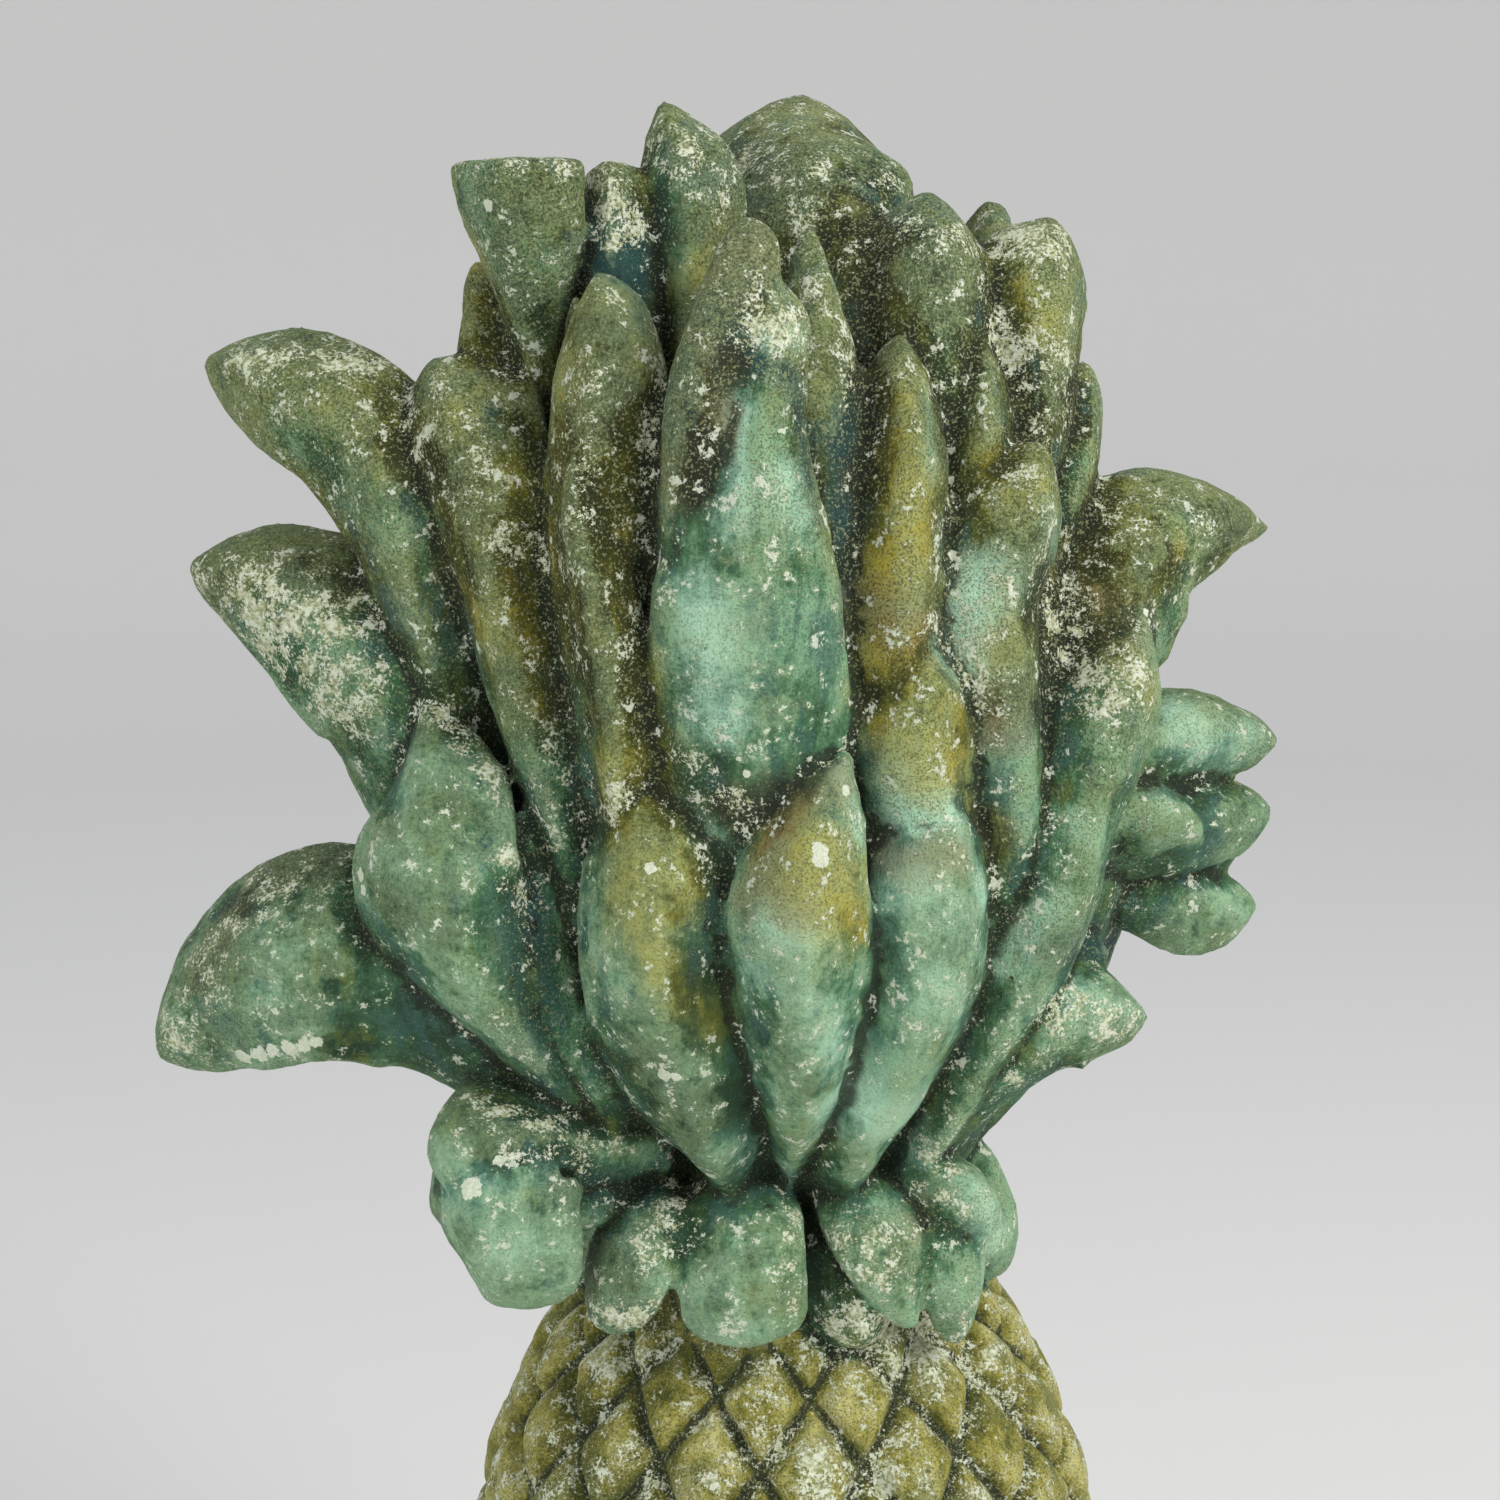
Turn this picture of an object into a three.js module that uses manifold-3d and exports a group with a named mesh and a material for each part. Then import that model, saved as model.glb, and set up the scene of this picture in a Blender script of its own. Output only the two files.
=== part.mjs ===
// A cast-stone pineapple finial: a round low base, a fruit carved with a lattice of diamond knobs,
// a collar of small drooping leaves, and a tall crown of thick fleshy leaves. It was cast as one piece.
// Millimetres, +Z up, the front looks along -Y, and the origin is in the middle of the underside.

import * as THREE from "three";
import * as BufferGeometryUtils from "three/addons/utils/BufferGeometryUtils.js";
import Module from "manifold-3d";

// Base
const plinthRadius = 68;
const plinthHeight = 20;
const plinthRounding = 5;
const footRingRadius = 58;
const footRingHeight = 15;
const baseSides = 28;

// Fruit
const fruitRadius = 85;
const fruitHeight = 222;
const fruitWaist = 0.46; // height of the widest ring, as a share of the fruit's height
const fruitCut = 0.9; // how far the egg's curve runs towards its two points before it is cut off
const fruitSwell = { above: 2, below: 2.6 }; // powers of the curve: a higher one is fuller
const fruitSunk = 4; // how deep the fruit sits in the foot ring
const diamondsAround = 16;
const diamondRows = 12;
const rowCrowding = 0.05; // how much the rows crowd towards the top and the bottom
const knobHeight = 5;
const grooveShare = 0.4; // how far a knob's sloping side reaches in towards its middle
const latticeTurn = 5.6; // degrees by which the lattice is turned to the right

// Neck and crown
const neckRadius = 46;
const neckHeight = 22;
const neckSunk = 8; // how much of it the fruit's top hides
const crownHeight = 292;
const leafThickness = 0.045; // share of the crown's height

const shortestEdge = 1.5; // edges that the joins leave shorter than this are drawn together
const mostTurn = 60; // degrees that this may turn a face
const tidyPasses = 3;

const fruitBottom = plinthHeight + footRingHeight - fruitSunk;
const fruitTop = fruitBottom + fruitHeight;
const crownBottom = fruitTop + neckHeight - neckSunk;
const percent = crownHeight / 100;

const stone = new THREE.MeshStandardMaterial({ color: 0x6f8560, roughness: 0.92, metalness: 0 });

const wasm = await Module();
wasm.setup();

function solidOf(geometry) {
  const bare = geometry.clone();
  bare.deleteAttribute("normal");
  bare.deleteAttribute("uv");
  const merged = BufferGeometryUtils.mergeVertices(bare, 1e-4);
  return new wasm.Manifold(new wasm.Mesh({
    numProp: 3,
    vertProperties: Float32Array.from(merged.attributes.position.array),
    triVerts: Uint32Array.from(merged.index.array),
  }));
}

// The largest of the closed skins of a solid, so that a pocket sealed in between leaves is filled.
function outerSkin(solid) {
  return solid.decompose().reduce((a, b) => (b.volume() > a.volume() ? b : a));
}

// Where two leaves cross, their join leaves edges far shorter than the carving. Each is drawn together to
// one of its ends, unless that would turn a neighbouring face over or close up the skin.
function withoutSlivers(points, triangles) {
  const facesAt = points.map(() => new Set());
  triangles.forEach((face, i) => face.forEach((v) => facesAt[v].add(i)));
  const ringOf = (v) => new Set([...facesAt[v]].flatMap((i) => triangles[i]));
  const normalOf = ([a, b, c]) => new THREE.Triangle(points[a], points[b], points[c])
    .getNormal(new THREE.Vector3());
  const leastLikeness = Math.cos(THREE.MathUtils.degToRad(mostTurn));
  const canJoin = (kept, gone) => {
    const ring = ringOf(gone);
    const shared = [...ringOf(kept)].filter((v) => ring.has(v));
    const moved = [...facesAt[gone]].filter((i) => !triangles[i].includes(kept));
    return shared.length === 4 && moved.every((i) => {
      const after = triangles[i].map((v) => (v === gone ? kept : v));
      return normalOf(triangles[i]).dot(normalOf(after)) > leastLikeness;
    });
  };
  const join = (kept, gone) => {
    facesAt[gone].forEach((i) => {
      if (triangles[i].includes(kept)) {
        triangles[i].forEach((v) => v !== gone && facesAt[v].delete(i));
        triangles[i] = null;
      } else {
        triangles[i] = triangles[i].map((v) => (v === gone ? kept : v));
        facesAt[kept].add(i);
      }
    });
    facesAt[gone].clear();
  };
  for (let pass = 0; pass < tidyPasses; pass += 1) {
    for (let i = 0; i < triangles.length; i += 1) {
      for (let k = 0; triangles[i] && k < 3; k += 1) {
        const a = triangles[i][k];
        const b = triangles[i][(k + 1) % 3];
        if (points[a].distanceTo(points[b]) < shortestEdge) {
          if (canJoin(a, b)) join(a, b);
          else if (canJoin(b, a)) join(b, a);
        }
      }
    }
  }
  return triangles.filter((face) => face);
}

function pointsAndFaces(solid) {
  const { vertProperties, triVerts } = solid.getMesh();
  const points = [...Array(vertProperties.length / 3).keys()]
    .map((i) => new THREE.Vector3().fromArray(vertProperties, 3 * i));
  const faces = [...Array(triVerts.length / 3).keys()].map((i) => [...triVerts.subarray(3 * i, 3 * i + 3)]);
  return [points, faces];
}

function meshOf(solid) {
  const [points, faces] = pointsAndFaces(outerSkin(solid));
  const tidy = outerSkin(solidFrom(points, withoutSlivers(points, faces)));
  return facetedGeometry(...pointsAndFaces(tidy));
}

function facetedGeometry(points, faces) {
  const geometry = new THREE.BufferGeometry();
  const coordinates = points.flatMap((p) => p.toArray());
  geometry.setAttribute("position", new THREE.Float32BufferAttribute(coordinates, 3));
  geometry.setIndex(faces.flat());
  geometry.computeVertexNormals();
  return geometry;
}

const solidFrom = (points, faces) => solidOf(facetedGeometry(points, faces));

// A point from its turn around the axis (0 at the front, positive to the right), radius and height.
function around(turn, radius, height) {
  const angle = THREE.MathUtils.degToRad(turn);
  return new THREE.Vector3(radius * Math.sin(angle), -radius * Math.cos(angle), height);
}

function turned(profile, segments) {
  const lathe = new THREE.LatheGeometry(profile.map(([r, z]) => new THREE.Vector2(r, z)), segments);
  return solidOf(lathe.rotateX(Math.PI / 2));
}

// A band of the given radius between two heights, its lower and upper edges rounded: [radius, height].
function rim(radius, low, high, rounding, steps) {
  const arcs = [...Array(steps + 1).keys()].map((i) => (Math.PI / 2) * (i / steps));
  const inset = (share) => rounding * (1 - share);
  const lower = arcs.map((a) => [radius - inset(Math.sin(a)), low + inset(Math.cos(a))]);
  const upper = arcs.map((a) => [radius - inset(Math.cos(a)), high - inset(Math.sin(a))]);
  return [...lower, ...upper];
}

// Base: a round plinth with a rounded rim, and a narrower rounded ring that the fruit sits in.
function base() {
  const plinth = rim(plinthRadius, 0, plinthHeight, plinthRounding, 2);
  const ringTop = plinthHeight + footRingHeight;
  const ring = rim(footRingRadius, plinthHeight, ringTop, footRingHeight / 2, 3);
  return turned([[0, 0], ...plinth, ...ring, [0, ringTop]], baseSides);
}

// Fruit: an egg shape, fuller below its widest ring than above it.
function fruitSection(share) {
  const upper = share > fruitWaist;
  const reach = upper ? (share - fruitWaist) / (1 - fruitWaist) : (fruitWaist - share) / fruitWaist;
  const power = upper ? fruitSwell.above : fruitSwell.below;
  return fruitRadius * Math.sqrt(1 - (fruitCut * reach) ** power);
}

function fruit() {
  const points = [];
  const faces = [];
  const add = (p) => points.push(p) - 1;
  const step = 360 / diamondsAround;
  const turnOf = (row, k) => latticeTurn + step * (k + (row % 2) / 2);
  const heightOf = (row) => {
    const t = row / diamondRows;
    return t - rowCrowding * Math.sin(2 * Math.PI * t);
  };
  const ringAt = (row) => [...Array(diamondsAround).keys()].map((k) => {
    const share = heightOf(row);
    return add(around(turnOf(row, k), fruitSection(share), fruitBottom + fruitHeight * share));
  });
  const rings = [...Array(diamondRows + 1).keys()].map(ringAt);
  const at = (row, k) => rings[row][((k % diamondsAround) + diamondsAround) % diamondsAround];
  for (let row = 1; row < diamondRows; row += 1) {
    const odd = row % 2;
    for (let k = 0; k < diamondsAround; k += 1) {
      const left = at(row, k);
      const right = at(row, k + 1);
      const below = at(row - 1, k + odd);
      const above = at(row + 1, k + odd);
      const corners = [below, right, above, left];
      const middle = corners
        .reduce((sum, c) => sum.add(points[c]), new THREE.Vector3())
        .divideScalar(corners.length);
      const across = points[right].clone().sub(points[left]);
      const upward = points[above].clone().sub(points[below]);
      const outward = across.cross(upward).normalize();
      const shoulder = corners.map((c) => add(points[c].clone()
        .lerp(middle, grooveShare)
        .addScaledVector(outward, knobHeight)));
      corners.forEach((c, i) => {
        const next = (i + 1) % 4;
        faces.push([c, corners[next], shoulder[next]], [c, shoulder[next], shoulder[i]]);
      });
      const [low, east, high, west] = shoulder;
      faces.push([low, east, west], [east, high, west]);
    }
  }
  const bottomMiddle = add(new THREE.Vector3(0, 0, fruitBottom));
  const topMiddle = add(new THREE.Vector3(0, 0, fruitTop));
  const last = diamondRows;
  for (let k = 0; k < diamondsAround; k += 1) {
    faces.push([at(0, k), at(0, k + 1), at(1, k)], [at(0, k + 1), at(0, k), bottomMiddle]);
    faces.push([at(last, k + 1), at(last, k), at(last - 1, k + (last % 2))]);
    faces.push([at(last, k), at(last, k + 1), topMiddle]);
  }
  return solidFrom(points, faces);
}

// A leaf is lofted along a spine that rises from its root on the neck. Each place of the spine is
// [across, forward, up, width], in hundredths of the crown's height from the foot of the crown. Its section
// is a lens with a keel on its outer side that faces the turn `face`. `cup` bends its margins out (above 0)
// or back (below 0), and a high `blunt` squares its tip.
const lens = [[1, 0], [0.55, 0.87], [0, 1.25], [-0.55, 0.87], [-1, 0], [0, -0.9]];
const fullWidth = 10; // hundredths, above which a leaf is as thick as any
const slimming = 0.6; // how fast narrower leaves get thinner, 1 in step with their width
const rootShare = 0.6; // width at the root, as a share of the first width given
const rootRadius = 0.61; // where the spines start, as a share of the neck's radius
const tipRings = 2;
const tipReach = 0.985; // where the last ring stands, as a share of the last stretch of the spine
const lookUp = 0.35; // how far the outer sides lean to the sky
const rootKeel = 1.5; // how much deeper the back of a leaf is at its root than at its tip
const cupLevel = 0.3; // the square of the place across where a cupped leaf keeps its level

function leaf({ root, face, spine, cup = -0.14, keel = 0.25, blunt = 2.2 }) {
  const place = ([across, forward, up]) => new THREE.Vector3(
    across * percent,
    -forward * percent,
    up * percent + crownBottom,
  );
  const last = spine.length;
  const start = around(root, rootRadius * neckRadius, crownBottom);
  const line = new THREE.CatmullRomCurve3([start, ...spine.map(place)]);
  const widths = [rootShare * spine[0][3], ...spine.map(([, , , width]) => width)];
  const widthLine = new THREE.SplineCurve(widths.map((width, i) => new THREE.Vector2(i, width * percent)));
  const facing = around(face, 1, lookUp).normalize();
  const stations = [...Array(last).keys()];
  for (let ring = 1; ring <= tipRings; ring += 1) {
    stations.push(last - 1 + tipReach * Math.sin((Math.PI / 2) * (ring / tipRings)));
  }
  const points = [];
  const faces = [];
  stations.forEach((station) => {
    const t = station / last;
    const middle = line.getPoint(t);
    const along = line.getTangent(t);
    const side = along.clone().cross(facing).normalize();
    const outward = side.clone().cross(along);
    const closing = Math.sqrt(1 - Math.max(0, station - last + 1) ** blunt);
    const width = widthLine.getPoint(t).y;
    const half = 0.5 * width * closing;
    const slim = Math.min(1, width / (fullWidth * percent)) ** slimming;
    const depth = leafThickness * crownHeight * slim * Math.sqrt(closing);
    const rear = 1 + rootKeel * (1 - t);
    lens.forEach(([u, v]) => {
      const level = v > 0 ? v : v * rear;
      const crest = v > 0 ? keel * depth * (1 - Math.abs(u)) : 0;
      const bend = cup * half * (u * u - cupLevel);
      points.push(middle.clone()
        .addScaledVector(side, half * u)
        .addScaledVector(outward, 0.5 * depth * level + crest + bend));
    });
  });
  const rootEnd = points.push(line.getPoint(0)) - 1;
  const tipEnd = points.push(line.getPoint(1)) - 1;
  const sides = lens.length;
  const tipRing = points.length - 2 - sides;
  for (let i = 0; i < sides; i += 1) {
    const j = (i + 1) % sides;
    for (let ring = 0; ring < tipRing; ring += sides) {
      faces.push([ring + j, ring + i, ring + sides + i]);
      faces.push([ring + j, ring + sides + i, ring + sides + j]);
    }
    faces.push([rootEnd, i, j], [tipEnd, tipRing + j, tipRing + i]);
  }
  return solidFrom(points, faces);
}

const frontLeaves = {
  frontLeft: { root: -24, face: -14, cup: -0.2, blunt: 3, spine: [
    [-5, 19, 6.5, 6], [-8.5, 26, 17, 13.5], [-11.5, 29, 27.5, 13.5], [-11.5, 29, 35, 13],
    [-11.5, 27, 41, 9.5],
  ] },
  frontMiddle: { root: 0, face: 2, cup: -0.2, spine: [
    [0.5, 20, 8.5, 4.5], [1, 28, 18, 9], [1, 32, 27, 11.5], [1, 33, 34.5, 11.5], [3, 32, 41, 7],
    [5, 30, 45.5, 2],
  ] },
  frontRight: { root: 22, face: 22, cup: -0.2, spine: [
    [4.5, 19, 6.5, 6], [8.5, 25, 16.5, 9.5], [11.5, 28, 26, 11.5], [12, 28.5, 33, 11.5],
    [12, 27, 38, 10], [12.5, 25, 41.5, 4.5],
  ] },
  frontRightUpper: { root: 12, face: 10, spine: [
    [9, 23, 29.5, 11], [11, 26, 37.5, 10.5], [10.5, 27.5, 44.5, 11.5], [11, 27.5, 50, 8],
    [10.5, 26, 55.5, 2.5],
  ] },
  slenderLeft: { root: -44, face: -30, spine: [
    [-15, 21, 13.5, 5], [-20, 23, 23.5, 5.5], [-22, 23, 32.5, 4.5], [-22, 22, 40.5, 3],
  ] },
  slenderLeftLow: { root: -38, face: -25, spine: [
    [-14, 20, 11.5, 4.5], [-17, 23, 18.5, 5.5], [-19, 23, 25, 3.5],
  ] },
  frontShelf: { root: -4, face: 4, cup: 0.02, keel: 0.08, blunt: 4, spine: [
    [-2, 22, 22.5, 5.5], [-4.5, 26.5, 31.5, 7], [-5, 27.5, 38, 9], [-4.5, 27.5, 42, 8],
  ] },
  tallLeft: { root: -22, face: -16, keel: 0.3, spine: [
    [-12.5, 23, 35.5, 10], [-14.5, 26, 49.5, 9], [-15.5, 26, 58.5, 10], [-15.5, 26, 68, 10.5],
    [-15, 26, 76, 10], [-15, 25, 81, 7], [-15.5, 23.5, 84.5, 4],
  ] },
  tallLeftInner: { root: -14, face: -20, keel: 0.4, spine: [
    [-12.5, 25, 36, 7.5], [-14, 28.5, 50, 7], [-15.5, 29, 58, 6], [-17, 28.5, 65.5, 4.5],
    [-17, 27.5, 72, 2.5],
  ] },
  tallMiddle: { root: 0, face: 4, cup: -0.04, keel: 0.15, blunt: 3, spine: [
    [-3.5, 24, 30.5, 13.5], [-3, 28.5, 41.5, 15], [-3, 30.5, 50.5, 16], [-3.5, 31.5, 58, 15.5],
    [-3, 32, 64.5, 12.5], [-2.5, 32, 70.5, 8.5], [-2, 31.5, 76, 7], [-1.5, 30.5, 80.5, 6.5],
    [-1.5, 28.5, 83.5, 5],
  ] },
  tallMiddleShoulder: { root: -8, face: -44, cup: -0.02, blunt: 4, spine: [
    [-8.5, 25, 49, 8], [-8, 28.5, 56.5, 7.5], [-7.5, 30, 65, 8.5], [-7, 30.5, 73, 9], [-5, 30, 81, 8],
    [-2.5, 27, 88.5, 6.5],
  ] },
  tallRightStrip: { root: 7, face: 20, cup: 0.06, keel: 0.1, spine: [
    [3.5, 24, 43.5, 6.5], [3.5, 25.5, 51, 6], [3, 26.5, 59.5, 7], [2.5, 26.5, 68, 8.5],
    [2.5, 26, 76, 7.5], [2, 24, 83, 4.5], [1.5, 22, 88.5, 3],
  ] },
  tallRight: { root: 17, face: 12, keel: 0.3, spine: [
    [9, 23, 41, 10], [9, 25.5, 49, 8.5], [9, 26, 56.5, 9.5], [9, 26, 63.5, 9], [9.5, 25.5, 70.5, 7.5],
    [9, 24, 75.5, 6], [9, 22, 79, 3.5],
  ] },
  tallFarRight: { root: 28, face: 26, keel: 0.3, spine: [
    [17, 21, 31, 7.5], [18.5, 23.5, 39.5, 7.5], [17.5, 24, 49, 9.5], [17, 24, 58, 10],
    [19, 23, 64.5, 10], [20.5, 20, 70, 8],
  ] },
  upperRightInner: { root: 24, face: 12, spine: [
    [16, 21, 55.5, 7.5], [15.5, 21.5, 64.5, 6.5], [16, 20.5, 72, 6.5], [16, 18.5, 79.5, 4.5],
  ] },
};

const sideLeaves = {
  rightInner: { root: 40, face: 25, keel: 0.25, spine: [
    [12, 18, 8, 4], [17, 21.5, 18.5, 7.5], [22, 22.5, 29, 9], [24.5, 22, 39, 9.5], [28, 19.5, 48, 10],
    [30, 16, 57, 5],
  ] },
  rightArm: { root: 56, face: 22, spine: [
    [24.5, 13, 41, 9], [27, 15, 53, 14.5], [31, 13, 61, 14], [37.5, 9, 62.5, 8.5], [43, 5, 61.5, 3],
  ] },
  rightSecond: { root: 66, face: 25, blunt: 6, spine: [
    [24, 12, 34.5, 10.5], [29, 13, 42, 9], [35.5, 10, 44, 8.5], [43.5, 5, 42, 6],
  ] },
  rightThird: { root: 74, face: 28, blunt: 8, spine: [
    [23, 10, 29, 9], [28.5, 12, 35.5, 10], [36.5, 9, 36, 9.5], [43, 5, 35.5, 6.5],
  ] },
  rightThirdFront: { root: 70, face: 24, blunt: 3, spine: [
    [25, 13.5, 32, 5.5], [29, 15, 37.5, 6.5], [33.5, 13.5, 36.5, 6.5], [36, 11.5, 34, 3],
  ] },
  rightBacking: { root: 76, face: 26, blunt: 3, spine: [
    [23, 9, 30.5, 16], [29.5, 7.5, 35.5, 16.5], [37, 4, 35, 16.5], [41.5, 1, 33.5, 12],
  ] },
  rightFourth: { root: 84, face: 34, blunt: 6, spine: [
    [22, 7, 25, 8.5], [29, 8, 29.5, 7], [36.5, 6, 27.5, 9], [42, 2, 26, 7.5],
  ] },
  rightLow: { root: 62, face: 25, blunt: 4, spine: [
    [11, 14, 6, 5.5], [18.5, 19, 15.5, 7], [24.5, 19, 20.5, 10.5], [31, 16, 19, 6.5],
  ] },
  rightLowBack: { root: 68, face: 30, spine: [[17, 14, 16.5, 7], [23, 15, 23, 7.5], [28, 13, 25, 8.5]] },
  rightCurl: { root: 50, face: 35, blunt: 3, spine: [
    [9.5, 15, 5, 4.5], [14.5, 18, 4, 7.5], [18, 17, 0, 6.5],
  ] },
  leftArm: { root: -62, face: -20, blunt: 6, spine: [
    [-28.5, 17, 47, 8], [-31, 18, 56, 9.5], [-33.5, 18, 65, 12], [-37.5, 16, 71.5, 13],
    [-44.5, 13, 75, 11], [-50, 9, 76, 6],
  ] },
  leftArmInner: { root: -52, face: -24, blunt: 4, spine: [
    [-18, 22, 35.5, 6.5], [-21.5, 23, 48.5, 8.5], [-23.5, 22.5, 58, 10], [-25.5, 21.5, 66, 12.5],
    [-27.5, 19, 72, 13.5], [-29, 15, 76, 10.5],
  ] },
  leftSecond: { root: -74, face: -22, blunt: 6, spine: [
    [-31, 14, 38.5, 13.5], [-34.5, 16, 48, 16], [-39.5, 14, 54, 16], [-46.5, 11, 57.5, 11.5],
    [-52, 7, 58, 6],
  ] },
  leftDiamond: { root: -58, face: -24, blunt: 2, spine: [
    [-14.5, 17, 9, 4], [-23, 23, 20.5, 8], [-28, 25, 28.5, 13], [-30.5, 25, 34.5, 16],
    [-29.5, 23, 40, 12.5], [-30.5, 18, 49.5, 4],
  ] },
  leftLowArm: { root: -82, face: -22, blunt: 4, spine: [
    [-23.5, 16, 15.5, 12], [-31, 18, 22.5, 17], [-40.5, 18.5, 26, 19.5], [-49.5, 15.5, 21.5, 16],
    [-55, 11.5, 14.5, 7.5],
  ] },
  leftCurl: { root: -68, face: -30, blunt: 3, cup: -0.2, spine: [
    [-19.5, 18.5, 9, 5.5], [-25, 23, 7.5, 15], [-25, 25, 4.5, 14.5], [-24, 24, 0.5, 13.5],
    [-23, 20, -4, 10.5],
  ] },
  leftCurlBand: { root: -60, face: -22, blunt: 3, spine: [
    [-12.5, 18, 8, 6], [-20, 22, 9.5, 10], [-27, 24, 9.5, 12], [-30, 23, 8.5, 10.5],
  ] },
};

const topLeaves = {
  topLeftLow: { root: -60, face: -28, spine: [
    [-22.5, 16, 67, 7.5], [-25, 16, 75, 8], [-26.5, 13, 85.5, 5.5],
  ] },
  trumpet: { root: -43, face: -20, cup: 0.14, blunt: 14, spine: [
    [-20.5, 17, 72, 3], [-21.5, 18, 79.5, 5], [-22, 20.5, 87, 10], [-22.5, 22, 91.5, 12],
    [-22.5, 22, 94, 12.5],
  ] },
  topLeft: { root: -30, face: -12, blunt: 6, spine: [
    [-13.5, 18.5, 74, 7.5], [-14, 19, 83, 7.5], [-14.5, 19, 89.5, 6.5], [-15, 18, 93.5, 6],
  ] },
  topLeftTip: { root: -15, face: -8, spine: [
    [-9, 18, 75.5, 4.5], [-8, 18.5, 85.5, 8], [-8.5, 17.5, 92, 9], [-10.5, 14, 98.5, 5.5],
  ] },
  dome: { root: 170, face: 0, blunt: 3, spine: [
    [2.5, 10, 66.5, 11.5], [2.5, 13, 79.5, 14], [2, 10, 90, 18.5], [1, 3, 94, 18], [1.5, -6, 98, 15],
  ] },
  domeFront: { root: 4, face: 6, spine: [
    [7, 20, 63.5, 5.5], [6.5, 17.5, 73, 9], [5.5, 15.5, 81.5, 10], [5, 11, 90.5, 9],
  ] },
  topRight: { root: 30, face: 14, blunt: 3, spine: [
    [11.5, 18.5, 67, 9.5], [12, 19, 75, 11.5], [12, 17.5, 83, 13], [11.5, 13, 90.5, 10.5],
  ] },
  topRightTip: { root: 52, face: 20, blunt: 3, spine: [
    [20, 16, 67, 8.5], [21, 15.5, 75, 9], [21, 14, 82.5, 11], [22, 10.5, 88.5, 10],
  ] },
  topRightLow: { root: 70, face: 30, blunt: 3, spine: [
    [23, 14.5, 63.5, 6.5], [25, 12, 70.5, 6], [25.5, 9, 76.5, 5.5],
  ] },
};

// Small leaves at the foot of the crown that turn down over the top of the fruit.
const collarLeaves = {
  collarLip: { root: -52, face: -35, blunt: 3, spine: [
    [-14.5, 18, 4.5, 3.5], [-17.5, 21, 4, 4], [-19, 21, 1.5, 3.5],
  ] },
  collarHook: { root: -36, face: -25, blunt: 4, cup: 0.12, keel: -0.12, spine: [
    [-11.5, 18, 3.5, 7], [-13.5, 22.5, -0.5, 8.5], [-16, 21.5, -7.5, 7.5],
  ] },
  collarApron: { root: -7, face: -4, blunt: 7, cup: 0.14, keel: -0.1, spine: [
    [-3.5, 18.5, 4, 9.5], [-4, 24, -1, 11.5], [-3.5, 23, -8, 11],
  ] },
  collarUnder: { root: 10, face: 12, blunt: 3, spine: [[5.5, 17, -0.5, 9.5], [6, 19.5, -10, 10]] },
  collarMiddle: { root: 18, face: 18, cup: 0.1, keel: -0.08, spine: [
    [5.5, 18, 4, 7], [8, 22, 0.5, 8], [11, 21, -7.5, 5.5],
  ] },
  collarRight: { root: 38, face: 30, blunt: 3, cup: 0.1, keel: -0.08, spine: [
    [12.5, 17, 4, 5], [14.5, 19, -1, 7], [15, 18, -10, 6],
  ] },
};

// The back is plainer: rows of like leaves, each placed by its turn, with [out, up, width] along its spine.
const backRows = [
  { turns: [92, 118, 149, 180, 211, 242, 268], spine: [[23, 15, 14], [29, 30, 17], [31, 45, 9]] },
  { turns: [112, 138, 167, 197, 230, 262], spine: [[21, 36, 14], [25, 58, 16], [30, 73, 8]] },
  { turns: [118, 150, 182, 214, 242, 266], spine: [[15, 56, 13], [19, 78, 14], [22, 91, 8]] },
  { turns: [80, 112, 146, 180, 214, 248, 280], spine: [[15, 2, 9], [18, -3, 12], [18, -9, 9]] },
];

function backLeaves() {
  const spot = (turn, [out, up, width]) => {
    const { x, y } = around(turn, out, up);
    return [x, -y, up, width];
  };
  return backRows.flatMap(({ turns, spine }) => turns.map((turn) => {
    const ownSpine = spine.map((place) => spot(turn, place));
    return leaf({ root: turn, face: turn, spine: ownSpine });
  }));
}

const neckFlare = 6; // how much wider the neck is at its foot
const neckDepth = 25; // how far its foot is sunk in the fruit
const crownOverlap = 4; // how far it reaches up into the crown
const neckSides = 16;

function neck() {
  return turned([
    [0, fruitTop - neckDepth],
    [neckRadius + neckFlare, fruitTop - neckDepth],
    [neckRadius, fruitTop],
    [neckRadius, crownBottom + crownOverlap],
    [0, crownBottom + crownOverlap],
  ], neckSides).translate([0, -neckForward * percent, 0]);
}

// The heart of the crown, an oval mass behind the leaves: [radius, up] in hundredths of the crown's height.
const heartProfile = [
  [0, -4], [11, -4], [15, 6], [22, 18], [26, 30], [25.5, 48], [24, 60], [19, 70], [14, 79], [8, 87],
  [0, 91],
];
const heartWiden = [1.22, 1, 1];
const heartForward = 3; // hundredths of the crown's height
const neckForward = 2.5;
const heartSides = 12;

function heart() {
  const profile = heartProfile.map(([r, up]) => [r * percent, crownBottom + up * percent]);
  return turned(profile, heartSides).scale(heartWiden).translate([0, -heartForward * percent, 0]);
}

const frontAndSides = { ...frontLeaves, ...sideLeaves, ...topLeaves, ...collarLeaves };
const leaves = [...Object.values(frontAndSides).map(leaf), ...backLeaves()];
const pieces = [base(), fruit(), neck(), heart(), ...leaves];
const whole = pieces.reduce((sum, piece) => sum.add(piece));

const finial = new THREE.Mesh(meshOf(whole), stone);
finial.name = "pineapple_finial";

const group = new THREE.Group();
group.add(finial);

export default group;
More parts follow.
